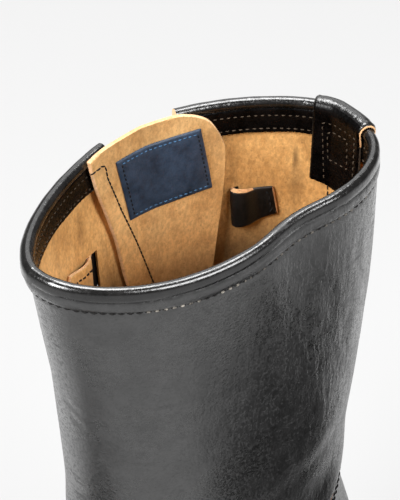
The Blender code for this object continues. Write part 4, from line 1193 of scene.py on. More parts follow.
LABEL_OUT = TONGUE_OUT - TONGUE - 1.5 * GAP
along, drop = np.meshgrid(np.linspace(0, 1, 61), np.linspace(0, 1, 45))
label_u, label_level = label_place(along, drop)
label_bow = tongue_bow(label_u, label_level)
from_side = np.minimum(along, 1 - along) * LABEL_WIDTH
from_edge = np.minimum(from_side, np.minimum(drop, 1 - drop) * LABEL_HEIGHT)
puff = 0.3 * smooth_step((from_edge - 1.6) / 5) - 0.22 * np.exp(-(((from_edge - 1.7) / 0.6) ** 2))
label_thick = LABEL * (0.55 + 0.45 * smooth_step(from_edge / 1.2)) + puff
leather(
    "blue_patch", wall_point(label_u, label_level, label_bow + LABEL_OUT - label_thick + LABEL_SUNK),
    wall_point(label_u, label_level, label_bow + LABEL_OUT + LABEL_SUNK),
    [patch_blue, patch_blue, patch_blue], ["label_patch"],
)

# %% [markdown]
# ## Cutting to a line
# The vamp covers the toe and instep, the counter the heel. Both are cut to a line drawn in side view. A
# Boolean would cut it too, but with ragged faces. Here each becomes a grid that runs from its foot at the
# welt up to that line, so its own edge is a row of the grid and its stitches can follow it.

# %% Cutting to a line
OVERLAY, OVERLAY_FOOT = 1.8, 10 / 3
VAMP_LINE = [
    Line(-48, 57), Line(-32, 63), Line(-18, 78), Line(-5, 100), Line(4, 120), Line(14, 150),
]


def side_view_point(x, z):
    """The (u, level) of the wall seen from the inner side at x and z."""
    low, high = 0.0, 60.0
    for _ in range(40):
        level = (low + high) / 2
        back, front = float(column(PROFILE, "back_x", level)), float(column(PROFILE, "front_x", level))
        share = min(max((x - back) / (front - back), 0.0), 1.0)
        u = math.acos(2 * share - 1) / (2 * math.pi)
        if skin_point(u, level)[2] < z:
            low = level
        else:
            high = level
    return u, level


def overlay_grid(line, end_x, centre_u, rows, columns):
    """u and level on an overlay: rows from its foot to its line, columns from one side round to the other."""
    x = np.linspace(line[0].x, line[-1].x, 90)
    edge = np.array([side_view_point(px, float(column(line, "z", px))) for px in x])
    if centre_u == 0.0:
        edge = edge[: int(np.argmax(edge[:, 0] < 1e-4)) + 1][::-1]
    else:
        edge = edge[int(np.sum(edge[:, 0] > 0.5 - 1e-4)) - 1:]
    edge = edge - [centre_u, 0]
    run = np.hypot(np.diff(edge[:, 0]) * SHAFT_GIRTH, np.diff(edge[:, 1]) * LEVEL_RISE)
    reach = np.append(0.0, np.cumsum(run))
    k = np.linspace(-1, 1, columns)
    edge_u = np.sign(k) * np.interp(abs(k), reach / reach[-1], edge[:, 0])
    edge_level = np.interp(abs(k), reach / reach[-1], edge[:, 1])
    back, front = (float(column(PROFILE, name, OVERLAY_FOOT)) for name in ("back_x", "front_x"))
    foot_u = math.acos(2 * (end_x - back) / (front - back) - 1) / (2 * math.pi) - centre_u
    t = np.linspace(0, 1, rows)[:, None]
    u = centre_u + k * abs(foot_u) * (1 - t) + np.sign(k) * abs(edge_u) * t
    return u, OVERLAY_FOOT + (edge_level - OVERLAY_FOOT) * t


print("the vamp ends at u, level:", np.round(side_view_point(VAMP_LINE[0].x, VAMP_LINE[0].z), 3))

# %% [markdown]
# ## Vamp and counter
# Walking folds the vamp across the ball of the foot, and the heel's counter stays smooth because it is
# stiffened. Folds could be painted as bump, but at the toe they are deep enough to change the outline.
# Each is a trough with a low ridge on both sides, like the shaft's.

# %% Vamp and counter
Fold = namedtuple("Fold", "x width depth slant")
VAMP_FOLDS = [
    Fold(66.0, 3.2, 0.7, 0.22), Fold(54.0, 3.6, 0.55, 0.10),
    Fold(78.0, 3.0, 0.4, 0.30), Fold(30.0, 6.0, 0.5, -0.1),
]


def vamp_relief(u, level):
    """Millimetres that the folds raise or lower the vamp."""
    place = skin_point(u, level)
    top = smooth_step((level - 9) / 16)
    relief = np.zeros(place.shape[:-1])
    for fold in VAMP_FOLDS:
        off = (place[..., 0] - fold.x - fold.slant * place[..., 1]) / fold.width
        relief -= fold.depth * top * (np.exp(-(off**2)) - 0.4 * np.exp(-((abs(off) - 1.9) ** 2)))
    return relief


def row_from_edge(u, level, distance):
    """A path on an overlay's grid at a distance from its upper edge."""
    points = skin_point(u, level)
    climb = np.linalg.norm(np.diff(points, axis=0), axis=-1)
    left = np.cumsum(climb[::-1], axis=0)[::-1]
    row = np.array([np.interp(-distance, -left[:, k], np.arange(len(left))) for k in range(u.shape[1])])
    low = np.minimum(row.astype(int), len(u) - 2)
    part, k = row - low, np.arange(u.shape[1])

    def at_row(grid):
        return grid[low, k] * (1 - part) + grid[low + 1, k] * part

    return at_row(u), at_row(level)


OVERLAY_FACE = 2 * GAP + OVERLAY
vamp_u, vamp_level = overlay_grid(VAMP_LINE, VAMP_LINE[0].x, 0.0, 131, 241)
counter_u, counter_level = overlay_grid(COUNTER_LINE, COUNTER_LINE[-1].x, 0.5, 81, 161)
overlay_finishes = [foot_black, edge_tan, edge_brown]
leather(
    "toe_vamp", wall_point(vamp_u, vamp_level, OVERLAY_FACE + vamp_relief(vamp_u, vamp_level)),
    wall_point(vamp_u, vamp_level, 2 * GAP), overlay_finishes, ["vamp"],
)
leather(
    "heel_counter", wall_point(counter_u, counter_level, OVERLAY_FACE),
    wall_point(counter_u, counter_level, 2 * GAP),
    overlay_finishes, ["counter"],
)

# %% [markdown]
# ## Laying a strap
# A strap is laid out in its own coordinates: `a` runs along it, `b` across it and `n` out of the wall.
# Then one function bends every piece of it round the boot. A Curve modifier could bend a flat strap too,
# but it knows nothing of the wall, and a strap has to lie on it all the way.

# %% Laying a strap
STRAP, CHAPE = 1.9, 1.6


def route(points):
    """Strap coordinates on a path of (u, level) points; gives a function of a, b and n, and the length."""
    points = np.asarray(points, float)
    fine = np.linspace(0, len(points) - 1, 40 * (len(points) - 1) + 1)
    u = np.interp(fine, np.arange(len(points)), points[:, 0])
    level = np.interp(fine, np.arange(len(points)), points[:, 1])
    length = np.append(0.0, np.cumsum(np.linalg.norm(np.diff(skin_point(u, level), axis=0), axis=1)))

    def lay(a, b, n):
        a, b, n = np.broadcast_arrays(*(np.asarray(value, float) for value in (a, b, n)))
        u0, level0 = np.interp(a, length, u), np.interp(a, length, level)
        step = 6.0
        ahead = skin_point(np.interp(a + step, length, u), np.interp(a + step, length, level))
        behind = skin_point(np.interp(a - step, length, u), np.interp(a - step, length, level))
        along, up, out, along_mm, up_mm = wall_frame(u0, level0)
        side = unit(np.cross(out, ahead - behind))
        lean = np.sum(along * up, -1)
        side_along, side_up = np.sum(side * along, -1), np.sum(side * up, -1)
        du = (side_along - lean * side_up) / (1 - lean**2) / along_mm
        dl = (side_up - lean * side_along) / (1 - lean**2) / up_mm
        return wall_point(u0 + b * du, level0 + b * dl, n)

    return lay, length[-1]


def curve_through(points, spacing):
    """Points at an even spacing on a rounded line through (a, n) points."""
    points = np.asarray(points, float)
    reach = np.append(0.0, np.cumsum(np.linalg.norm(np.diff(points, axis=0), axis=1)))
    Bend = namedtuple("Bend", "reach a n")
    table = [Bend(*row) for row in np.column_stack([reach, points])]
    at = np.linspace(0, reach[-1], max(2, int(reach[-1] / spacing) + 1))
    return np.column_stack([column(table, "a", at), column(table, "n", at)])


print("a strap is", STRAP, "mm thick, a chape", CHAPE, "mm")

# %% [markdown]
# ## Bands and keepers
# A band is a strip of leather whose middle layer follows a line in `a` and `n`, so it can climb over a
# buckle or dive through a slot. A keeper is a small loop that holds the strap's end down. Both could be
# boxes with a bevel, but cut leather is crowned, and its edge shows.

# %% Bands and keepers
KEEPER, KEEPER_BREADTH = 1.2, 7.0
KEEPER_BEND = 1.0                # radius of its inner corners


def band_grids(lay, middle, width, thickness, skew, tip, root):
    """The two faces, a little crowned, of a strap whose middle layer follows (a, n) points."""
    ahead = unit(np.gradient(middle, axis=0))
    share = np.linspace(0, 1, len(middle))[:, None]
    narrow = 1 - tip * np.clip((share - 0.9) / 0.1, 0, 1) ** 2 - root * np.clip(1 - share / 0.24, 0, 1)
    b = np.linspace(-1, 1, 17)
    crown = thickness / 2 * (1 - 0.22 * b**6 - 0.12 * np.exp(-(((abs(b) - 0.8) / 0.05) ** 2)))
    slant = b * width / 2 * (skew[0] * (1 - share) ** 4 + skew[1] * share**4)
    a, n = middle[:, :1], middle[:, 1:]
    face = lay(a - ahead[:, 1:] * crown + slant, b * narrow * width / 2, n + ahead[:, :1] * crown)
    back = lay(a + ahead[:, 1:] * crown + slant, b * narrow * width / 2, n - ahead[:, :1] * crown)
    return face, back


def band(name, lay, middle, width, thickness, finishes, stands_for, skew=(0.0, 0.0), tip=0.0, root=0.0):
    face, back = band_grids(lay, middle, width, thickness, skew, tip, root)
    return leather(name, face, back, finishes, stands_for)


def keeper(name, lay, at, width, low, high, stands_for):
    """A leather loop round a strap, between heights low and high inside, with rounded corners."""
    half = width / 2 + 2 * GAP
    turn = np.radians(np.arange(0, 90, 15))
    corner = np.column_stack([np.cos(turn), np.sin(turn)])
    loop = []
    for quarter, (b, n) in enumerate([(half, high), (-half, high), (-half, low), (half, low)]):
        cos, sin = math.cos(quarter * math.pi / 2), math.sin(quarter * math.pi / 2)
        outward = corner @ np.array([[cos, sin], [-sin, cos]])
        bend_b = b - KEEPER_BEND * np.sign(b)
        bend_n = n - KEEPER_BEND * (1 if n == high else -1)
        loop.append(np.column_stack([np.array([bend_b, bend_n]) + outward * KEEPER_BEND, outward]))
    loop = np.concatenate(loop)
    lip, crown = 0.4, KEEPER + 0.2
    edge = [
        (0, 0.0), (0, KEEPER), (lip, crown), (KEEPER_BREADTH - lip, crown),
        (KEEPER_BREADTH, KEEPER), (KEEPER_BREADTH, 0.0),
    ]
    rings = [lay(at + a, loop[:, 0] + loop[:, 2] * t, loop[:, 1] + loop[:, 3] * t) for a, t in edge]
    return loft(name, rings, [strap_black], stands_for, closed=True, sharp=40)


print("a keeper is", KEEPER_BREADTH, "mm broad")

# %% [markdown]
# ## Bending the buckles
# The buckles are bent from round nickelled wire: a frame of two bars with rounded corners, and a
# flattened pin. A rectangle with a bevelled curve would be flat, but the real frame lies on a rounded
# leg. So its line is drawn in the strap's own coordinates and bent with it.

# %% Bending the buckles
BAR, FRAME_LENGTH, FRAME_BEND, FRAME_PLAY = 1.6, 22.0, 4.0, 1.1
LOOP_PLAY, BAR_PLAY = 0.45, 1.2
LOOP = BAR + LOOP_PLAY + CHAPE / 2
PIN_WIDE, PIN_HIGH = 1.3, 1.0


def buckle(name, lay, at, width, low, high, stands_for):
    """A wire frame: its chape bar at a = at and height low, its front bar at height high."""
    half = width / 2 + FRAME_PLAY + BAR
    middle = []
    for side_a, side_b, start in ((0, 1, 0), (-1, 1, 90), (-1, -1, 180), (0, -1, 270)):
        corner_a = -FRAME_BEND if side_a == 0 else -FRAME_LENGTH + FRAME_BEND
        corner_b = side_b * (half - FRAME_BEND)
        for turn in np.radians(start + np.linspace(0, 90, 9)):
            middle.append((corner_a + FRAME_BEND * np.cos(turn), corner_b + FRAME_BEND * np.sin(turn)))
    middle = np.array(middle)
    ahead = unit(np.roll(middle, -1, 0) - np.roll(middle, 1, 0))
    outward = np.column_stack([ahead[:, 1], -ahead[:, 0]])
    turn = np.linspace(0, 2 * math.pi, 14, endpoint=False)
    a = middle[:, :1] + outward[:, :1] * BAR * np.cos(turn)
    b = middle[:, 1:] + outward[:, 1:] * BAR * np.cos(turn)
    n = low + (high - low) * -a / FRAME_LENGTH + BAR * np.sin(turn)
    return loft(name, lay(at + a, b, n), [nickel], stands_for, closed=True)


def pin(name, lay, middle, stands_for):
    turn = np.linspace(0, 2 * math.pi, 14, endpoint=False)
    share = np.linspace(0, 1, len(middle))
    taper = np.interp(share, [0, 0.08, 0.7, 0.94, 1], [0.7, 1, 0.95, 0.75, 0.4])[:, None]
    b = taper * PIN_WIDE * np.cos(turn)
    n = middle[:, 1:] + taper * PIN_HIGH * np.sin(turn)
    return loft(name, lay(middle[:, :1], b, n), [nickel], stands_for)


print("a chape folds round its bar in a loop of", round(2 * LOOP, 1), "mm")

# %% [markdown]
# ## A strap with its buckle
# The chape folds round one bar of the frame. The strap comes under the other bar, climbs over the chape's
# fold and runs on beneath the keeper, and the pin lies on top. The heights follow from the layers'
# thicknesses, so nothing cuts into anything. Both straps of the boot are closed like this, so one
# function makes them.

# %% A strap with its buckle


def buckled_strap(
    prefix, lay, width, rest, bar_at, strap_start, strap_end, chape_start,
    skew=0.0, doubled_to=0.0, taper=0.0,
):
    """A strap closed with a buckle: the strap runs under the front bar and over the chape's fold."""
    flat = rest + STRAP / 2
    low = rest + CHAPE / 2
    bar_height = low + LOOP
    over = low + 2 * LOOP + CHAPE / 2 + GAP + STRAP / 2
    second = low + CHAPE + GAP
    tail = second + CHAPE / 2 + GAP + STRAP / 2
    climb = [(bar_at - 26, flat), (bar_at - 19, flat + 0.2), (bar_at - 9, flat + 0.55 * (over - flat))]
    crest = [(bar_at - 2.5, over), (bar_at + 2.5, over)]
    fall = [(bar_at + 8, tail + 1.7), (bar_at + 14, tail + 0.4), (bar_at + 20, tail)]
    run = curve_through(strap_start + climb + crest + fall + strap_end, 1.2)
    belt_finishes = [strap_black, lining_tan, edge_tan]
    band(prefix + "_belt", lay, run, width, STRAP, belt_finishes, [prefix + "_strap"], (-skew, 0), 0.45)
    turn = np.radians(np.linspace(270, 90, 17))
    fold = [(bar_at + LOOP * math.cos(t), low + LOOP + LOOP * math.sin(t)) for t in turn]
    back = [(bar_at + 3.5, low + 2 * LOOP - 1.0), (bar_at + 8, second), (bar_at + 15, second)]
    middle = np.concatenate([curve_through(chape_start + [(bar_at + 4, low)], 1.2), fold, back])
    inside = middle[:, 1:] < -WALL
    thick = CHAPE + 1.9 * inside * smooth_step((doubled_to - middle[:, :1]) / 9)
    tab_finishes = [strap_black, strap_black, edge_tan]
    band(
        prefix + "_tab", lay, middle, width - 1.0, thick, tab_finishes, [prefix + "_chape"],
        (skew, 0), root=taper,
    )
    front = flat + STRAP / 2 + BAR_PLAY + BAR
    buckle(prefix + "_frame", lay, bar_at, width, bar_height, front, [prefix + "_buckle"])
    front_at, front_top = bar_at - FRAME_LENGTH, front + BAR
    prong = [
        (bar_at - 7.0, flat + 0.72 * (over - flat) + 2.6), (bar_at - 15, front_top + 2.4),
        (front_at - 0.5, front_top + 1.7), (front_at - 3.0, front_top + 0.9),
    ]
    pin(prefix + "_pin", lay, curve_through(prong, 0.8), [prefix + "_prong"])
    return run


print("a closed buckle stands", round(STRAP + BAR_PLAY + 2 * BAR, 1), "mm over the strap's rest")

# %% [markdown]
# ## Slots for the top strap
# The top strap comes out through a slot in front of the slit, and its buckle's chape through another
# behind it. A hole painted black would do in one picture. A Boolean with a small block cuts a real one
# through both skins, so the strap can be seen to pass the wall from either side.

# %% Slots for the top strap
TOP_WIDTH = 19.0
TOP_PATH = [
    (0.862, 83.5), (0.836, 82.6), (0.809, 82.2), (0.77, 82.4), (0.73, 82.6), (0.69, 82.6), (0.65, 82.6),
    (0.62, 82.9), (0.597, 83.4), (0.565, 84.1), (0.535, 84.5), (0.50, 84.6), (0.46, 84.6),
]
FRONT_SLOT, BACK_SLOT, TOP_BAR = 23.6, 95.8, 70.0
SLOT_RAMP, SLOT_PLAY = 5.0, 0.12
top_lay = route(TOP_PATH)[0]


def through_slot(slot, side, thickness):
    """(a, n) points of a band that comes out of a slot; side is 1 where it goes on to greater a."""
    ramp = side * SLOT_RAMP
    inside, outside = -(WALL + GAP + thickness / 2), GAP + thickness / 2
    return [(slot - ramp, inside), (slot, -WALL / 2), (slot + ramp, outside)]


def cut_slot(piece, start, end, width):
    """Cuts a slot for a band of that width through a skin of the wall, between two places along the strap."""
    corners = np.array([(0, -1), (1, -1), (1, 1), (0, 1)])
    a = start + corners[:, 0] * (end - start)
    b = corners[:, 1] * (width / 2 + SLOT_PLAY)
    points = np.concatenate([top_lay(a, b, -(WALL + 1.5)), top_lay(a, b, 1.5)]) * MM
    block = bpy.data.meshes.new("block")
    sides = [(0, 3, 2, 1), (4, 5, 6, 7)] + [(i, (i + 1) % 4, 4 + (i + 1) % 4, 4 + i) for i in range(4)]
    block.from_pydata(points.tolist(), [], sides)
    bm = bmesh.new()
    bm.from_mesh(block)
    bmesh.ops.recalc_face_normals(bm, faces=bm.faces)
    bm.to_mesh(block)
    bm.free()
    knife = bpy.data.objects.new("knife", block)
    bpy.context.scene.collection.objects.link(knife)
    change = piece.modifiers.new("slot", "BOOLEAN")
    change.object, change.operation, change.solver = knife, "DIFFERENCE", "EXACT"
    made = bpy.data.meshes.new_from_object(piece.evaluated_get(bpy.context.evaluated_depsgraph_get()))
    piece.modifiers.clear()
    piece.data = made
    bpy.data.objects.remove(knife)
    print(piece.name, "has a slot and", len(made.polygons), "faces")


Slots = namedtuple("Slots", "skin front_ahead front_behind back_ahead back_behind")
for cut in (Slots(shaft_outside, 2.2, 4.2, 4.2, 2.2), Slots(shaft_lining, 5.0, 3.6, 0.4, 3.4)):
    cut_slot(cut.skin, FRONT_SLOT - cut.front_ahead, FRONT_SLOT + cut.front_behind, TOP_WIDTH)
    cut_slot(cut.skin, BACK_SLOT - cut.back_ahead, BACK_SLOT + cut.back_behind, TOP_WIDTH - 1.0)

# %% [markdown]
# ## The top strap
# The strap's end lies on the lining with its tan back showing. The chape's end is a doubled tab, folded
# at its slot and a little narrower at the tip. Both ends are worked by hand, so their paths are a few
# given points rather than a simulation.

# %% The top strap
strap_from = [(2.0, -(WALL + GAP + STRAP / 2))] + through_slot(FRONT_SLOT, 1, STRAP)
strap_to = [(TOP_BAR + 30, GAP + 3.2), (TOP_BAR + 42, GAP + 2.6), (TOP_BAR + 58, GAP + STRAP / 2 + 0.2)]
tab_end = [
    (BACK_SLOT + 18, -(WALL + GAP + CHAPE / 2)), (BACK_SLOT + 11, -3.6),
    (BACK_SLOT + 4.0, -5.2), (BACK_SLOT + 0.9, -4.4),
]
chape_from = tab_end + through_slot(BACK_SLOT, -1, CHAPE)[1:]
top_run = buckled_strap(
    "top", top_lay, TOP_WIDTH, GAP, TOP_BAR, strap_from, strap_to, chape_from,
    doubled_to=BACK_SLOT + 12, taper=0.26,
)

keeper("top_loop", top_lay, TOP_BAR + 30, TOP_WIDTH, 5 * GAP, 19 * GAP, ["top_keeper"])

# %% [markdown]
# ## Ink and painted shade on the strap's ends
# Light doesn't reach into the slot, so the strap's back is painted dark there, a painted shade where it
# passes the wall, and a shoemaker inks the tab's long edges beyond its fold. New meshes for such small
# areas would only add seams. Instead, the faces that lie there are given another of the piece's finishes.

# %% Ink and painted shade on the strap's ends
belt = bpy.data.objects["top_belt"]
belt.data.materials.append(slot_painted_shade)
slot_place = top_lay(FRONT_SLOT, 0, 0) * MM
slot_ahead = unit(top_lay(FRONT_SLOT + 1, 0, 0) - top_lay(FRONT_SLOT - 1, 0, 0))
# faces of the strap's back inside its slot take the painted shade
for face in belt.data.polygons:
    past_slot = np.dot(np.array(face.center) - slot_place, slot_ahead)
    if face.material_index == 1 and -0.002 < past_slot < 0.012:
        face.material_index = 3

tab = bpy.data.objects["top_tab"]
tab.data.materials.append(inked_edge)
fold_place = top_lay(BACK_SLOT + 9, 0, -WALL) * MM
fold_ahead = unit(top_lay(BACK_SLOT + 10, 0, 0) - top_lay(BACK_SLOT + 8, 0, 0))
for face in tab.data.polygons:
    past_fold = np.dot(np.array(face.center) - fold_place, fold_ahead)
    if face.material_index == 2 and 0 < past_fold < 0.02 and abs(np.dot(face.normal, fold_ahead)) < 0.6:
        face.material_index = 3

inked = sum(face.material_index == 3 for piece in (belt, tab) for face in piece.data.polygons)
print("faces inked or dark:", inked)

# %% [markdown]
# ## The instep strap
# The lower strap rises from the welt on the inner side, crosses the instep and comes down to its buckle
# on the outer side. Its line is straight in side view, so it is found there and carried over to the wall.
# The rest is the same work as for the top strap.

# %% The instep strap
INSTEP_WIDTH, INSTEP_LEVEL = 21.0, 37.5
FOOT_X, FOOT_Z = -42.0, 45.6
top_x, top_z = (float(column(PROFILE, name, INSTEP_LEVEL)) for name in ("front_x", "front_z"))
steps = np.linspace(1.0, 0.0, 15)[:-1] ** 1.5
inner_path = [side_view_point(top_x + (FOOT_X - top_x) * f, top_z + (FOOT_Z - top_z) * f) for f in steps]
outer_path = [(-u, level) for u, level in reversed(inner_path)]
instep_lay, instep_length = route(inner_path + [(0.0, INSTEP_LEVEL)] + outer_path)
over_vamp = OVERLAY + 4 * GAP
instep_rest = over_vamp + 1.5
INSTEP_BAR = instep_length - 48.0
low_strap = over_vamp + STRAP / 2
strap_from = [(0.5, low_strap), (20.0, low_strap), (60.0, low_strap), (INSTEP_BAR - 45, low_strap + 0.5)]
strap_to = [(INSTEP_BAR + 30, instep_rest + 4.0)]
chape_from = [(instep_length - 0.5, over_vamp + CHAPE / 2), (instep_length - 14, instep_rest + CHAPE / 2)]
buckled_strap(
    "instep", instep_lay, INSTEP_WIDTH, instep_rest, INSTEP_BAR, strap_from, strap_to, chape_from, skew=0.5
)
keeper(
    "instep_loop", instep_lay, INSTEP_BAR + 18, INSTEP_WIDTH, instep_rest - GAP, instep_rest + 22 * GAP,
    ["instep_keeper"],
)
print("the instep strap goes", round(instep_length), "mm round the boot")

# %% [markdown]
# ## The sole's layers
# The sole is built in layers that share one outline, a margin outside the upper's foot. Each layer is a
# slab between several outlines, one above the other, so its edge can be rounded. Extruding one outline
# would be quicker, but the sole bends up at the toe and over the arch, and its height changes along the
# way.

# %% The sole's layers
Margin = namedtuple("Margin", "share width")
MARGIN = [Margin(0, 6), Margin(0.2, 5.5), Margin(0.4, 4.5), Margin(0.6, 7), Margin(0.8, 8.5), Margin(1, 8.5)]
ring_u = np.concatenate([np.linspace(0, 0.5, 151), np.linspace(0.5, 1, 151)[1:-1]])


def sole_edge(u, inset=0.0):
    """Plan of the sole's edge; the heights are left at zero."""
    out = unit(wall_frame(u, np.zeros_like(u))[2] * [1, 1, 0])
    margin = column(MARGIN, "width", (1 + np.cos(2 * math.pi * u)) / 2) - inset
    return (skin_point(u, np.zeros_like(u)) + out * margin[:, None]) * [1, 1, 0]


def raised(plan, height):
    return plan + np.multiply.outer(np.broadcast_to(height, len(plan)), [0, 0, 1.0])


def slab(name, outlines, finishes, stands_for, open_front=False, sharp=35):
    """A layer between outlines stacked from the top down; finishes are edge, top and foot."""
    stack = np.asarray(outlines, float)
    layers, count = stack.shape[:2]
    index = np.arange(layers * count).reshape(layers, count)
    faces = quads(np.concatenate([index, index[:, :1]], 1))
    which = [0] * len(faces)
    last = count - 1 if open_front else count
    for number, base in ((1, 0), (2, (layers - 1) * count)):
        pairs = [(base + i, base + (last - i) % count) for i in range(count // 2 + 1)]
        caps = [list(dict.fromkeys((a, c, d, b))) for (a, b), (c, d) in zip(pairs, pairs[1:])]
        caps = [f for f in caps if len(f) > 2]
        faces += caps
        which += [number] * len(caps)
    return add_piece(name, stack, faces, finishes, which, stands_for, sharp)


def rounded_layers(inset, bottom, top, bulge):
    """Outlines of a layer from bottom to top over the sole's rise, with a rounded edge."""
    made = []
    for t in np.linspace(1, 0, 7):
        plan = sole_edge(ring_u, inset + bulge * (2 * t - 1) ** 4)
        made.append(raised(plan, sole_rise(plan[:, 0]) + bottom + (top - bottom) * t))
    return made


outsole_top = OUTSOLE + GAP
slab("rubber_sole", rounded_layers(0.0, 0.0, OUTSOLE, 0.6), [black_rubber] * 3, ["outsole"])
slab(
    "leather_midsole", rounded_layers(0.4, outsole_top, outsole_top + MIDSOLE, 0.3), [inked_edge] * 3,
    ["midsole"],
)

# %% [markdown]
# ## Welt and footbed
# The welt is a leather strip that hugs the upper's foot and reaches to the sole's edge, with a groove for
# its stitches. Its section changes along the boot, so it is lofted through sections and not swept. The
# footbed inside is a plain slab: only its heel can be seen, far down the shaft.

# %% Welt and footbed
WELT_LEVEL = 1.45                # where the welt's top meets the wall
welt_plan = sole_edge(ring_u)
welt_rise = sole_top(welt_plan[:, 0]) + 1.5 * GAP
welt_low = raised(welt_plan, welt_rise)
welt_high = raised(welt_plan, welt_rise + WELT)
hug_low = wall_point(ring_u, 0.0, GAP)
hug_low[:, 2] = sole_top(hug_low[:, 0]) + 1.5 * GAP
hug_high = wall_point(ring_u, WELT_LEVEL, GAP)
WELT_SEAM = 0.56                 # place of the stitch groove, from the upper to the edge
share = np.array([0.0, 0.3, 0.44, 0.5, 0.56, 0.62, 0.68, 0.8, 0.93, 1.0])[:, None, None]
groove = 0.7 * np.exp(-(((share - WELT_SEAM) / 0.06) ** 2)) + 0.5 * smooth_step((share - 0.86) / 0.14)
welt_top = hug_high + (welt_high - hug_high) * share - groove * np.array([0, 0, 1.0])
section = np.concatenate([[hug_low, welt_low, welt_low * 0.5 + welt_high * 0.5], welt_top[::-1]])
loft("storm_welt", np.moveaxis(section, 0, 1), [inked_edge], ["welt"], closed=True, sharp=45)
welt_seam = welt_top[4] + [0, 0, 0.35]

bed = wall_point(ring_u, 0.0, -(WALL + 3 * GAP))
bed[:, 2] = sole_top(bed[:, 0]) + 2 * GAP
slab("footbed", [raised(bed, INSOLE), bed], [lining_tan] * 3, ["insole"])

# %% [markdown]
# ## The heel
# The heel is a stack of leather lifts, ground flush and inked, over a rubber top piece. The lifts still
# show as fine lines. Five separate slabs would show them too, but also every gap between. One slab with
# shallow grooves looks ground, as the real one does.

# %% The heel
heel_u = np.linspace(0.34, 0.66, 121)
LIFTS = 5


def heel_outline(inset, height):
    plan = sole_edge(heel_u, inset)
    plan[:, 0] = np.minimum(plan[:, 0], HEEL_BREAST)
    return raised(plan, height)


stack_layers = []
for share in np.linspace(0, 1, LIFTS * 5 + 1):
    line = 0.35 * math.exp(-(((share * LIFTS + 0.5) % 1 - 0.5) / 0.12) ** 2)
    layer = heel_outline(0.8 + 1.4 * share + line, 0.0)
    seat = sole_rise(layer[:, 0]) - GAP
    layer[:, 2] = seat + (HEEL_LIFT + GAP - seat) * share
    stack_layers.append(layer)
slab("stacked_heel", stack_layers, [inked_edge] * 3, ["heel_stack"], open_front=True)
lift_layers = []
for t in np.linspace(0, 1, 7):
    lift_layers.append(heel_outline(2.2 + 0.6 * t + 0.4 * (2 * t - 1) ** 6, HEEL_LIFT * (1 - t)))
slab("rubber_lift", lift_layers, [black_rubber] * 3, ["heel_lift"], open_front=True)

# %% [markdown]
# ## Stitches on the collar
# Now every seam gets its row. The collar's stitches lie in the groove under the band, over a thin dark
# line of black thread, a painted shade that stands for the shaded holes and groove between them. The facing
# has two rows of dull thread. A texture of dashes would be lighter, but real thread catches the light on
# top and throws a small shadow.

# %% Stitches on the collar


def corners_path(points):
    """Dense u and level along straight runs through (u, level) corners."""
    points = np.asarray(points, float)
    scale = np.array([SHAFT_GIRTH, LEVEL_RISE])
    reach = np.append(0.0, np.cumsum(np.linalg.norm(np.diff(points, axis=0) * scale, axis=1)))
    at = np.linspace(0, reach[-1], max(2, int(reach[-1] / 0.8)))
    return np.interp(at, reach, points[:, 0]), np.interp(at, reach, points[:, 1])


c = np.linspace(0.004, 0.996, 700)
seam_u = round_the_shaft(c, COLLAR_SEAM)
seam_row = wall_row(seam_u, COLLAR_SEAM, shaft_relief(seam_u, COLLAR_SEAM) + 0.15)
sew("collar_stitches", [seam_row], collar_thread, pitch=3.26, girth=0.44, fill=0.62)
# a continuous thin black line under the stitches: painted shade for the holes and groove between them
seam_row = wall_row(seam_u, COLLAR_SEAM, shaft_relief(seam_u, COLLAR_SEAM) + 0.05)
sew("collar_seam_line", [seam_row], black_thread, pitch=3.26, girth=0.34, fill=1.04)
facing_out = -(WALL + GAP + FACING) + 0.1
facing_rows = [wall_row(round_the_shaft(c, level), level, facing_out, inside=True) for level in FACING_SEAMS]
sew("facing_stitches", facing_rows, dull_thread, pitch=2.7, girth=0.24, fill=0.62)

# %% [markdown]
# ## Stitches on the backstay
# The backstay's end inside the shaft is held by a box of stitches within a box, and a last pair runs on
# below it. Outside, a row follows each long edge. The boxes' corners are listed on the wall, and
# straight runs between them do the rest.

# %% Stitches on the backstay
STAY_SEAM = 0.0095               # from the strip's edge to its row, in u
stay_out = -(WALL + 2 * GAP + FACING + STAY) + 0.05
box = [(0.5239, 88.9), (0.5358, 98.9), (0.473, 99.6), (0.471, 89.4)]
inner_box = [(0.516, 92.6), (0.522, 97.4), (0.486, 98.2), (0.484, 93.2), (0.516, 92.6)]
box_rows = [wall_row(*corners_path(row), stay_out, inside=True) for row in (box, inner_box)]
sew("backstay_box", box_rows, dull_thread, pitch=2.9, girth=0.26, fill=0.6)
end_row = wall_row(*corners_path([(0.523, 87.2), (0.521, 85.0)]), -WALL, inside=True)
sew("backstay_end", [end_row], black_thread, pitch=2.9, girth=0.28)
stay_level = np.linspace(STAY_FOOT + 1, 98.8, 300)
stay_rows = [
    wall_row(u, stay_level, 2 * GAP + STAY - 0.1) for u in (STAY_FROM_U + STAY_SEAM, STAY_TO_U - STAY_SEAM)
]
sew("backstay_stitches", stay_rows, black_thread, pitch=2.8, girth=0.4)

# %% [markdown]
# ## Stitches on the tongue
# One fine black row runs over the tongue beside its front edge, where the tongue is sewn to the shaft
# behind it. Its stitches touch, so it reads as a thin line. The line bends with the cut edge, so its
# corners are listed.

# %% Stitches on the tongue
tongue_line = [
    (0.7990, 99.7), (0.7850, 99.9), (0.7828, 99.4), (0.7818, 97.3),
    (0.7715, 90.5), (0.7585, 83.7), (0.7437, 75.2),
    (0.7330, 68.0),
]
line_u, line_level = corners_path(tongue_line)
line_out = TONGUE_OUT - TONGUE + tongue_bow(line_u, line_level) - 0.05
sew(
    "tongue_stitches", [wall_row(line_u, line_level, line_out, inside=True)], black_thread,
    pitch=2.6, girth=0.34, fill=1.04,
)

# %% [markdown]
# ## Stitches on the patch
# The patch is sewn with blue thread along its top and foot and with dark thread at its sides. A row is
# drawn in the patch's own shares, so it stays beside the edge whatever the patch's size is.

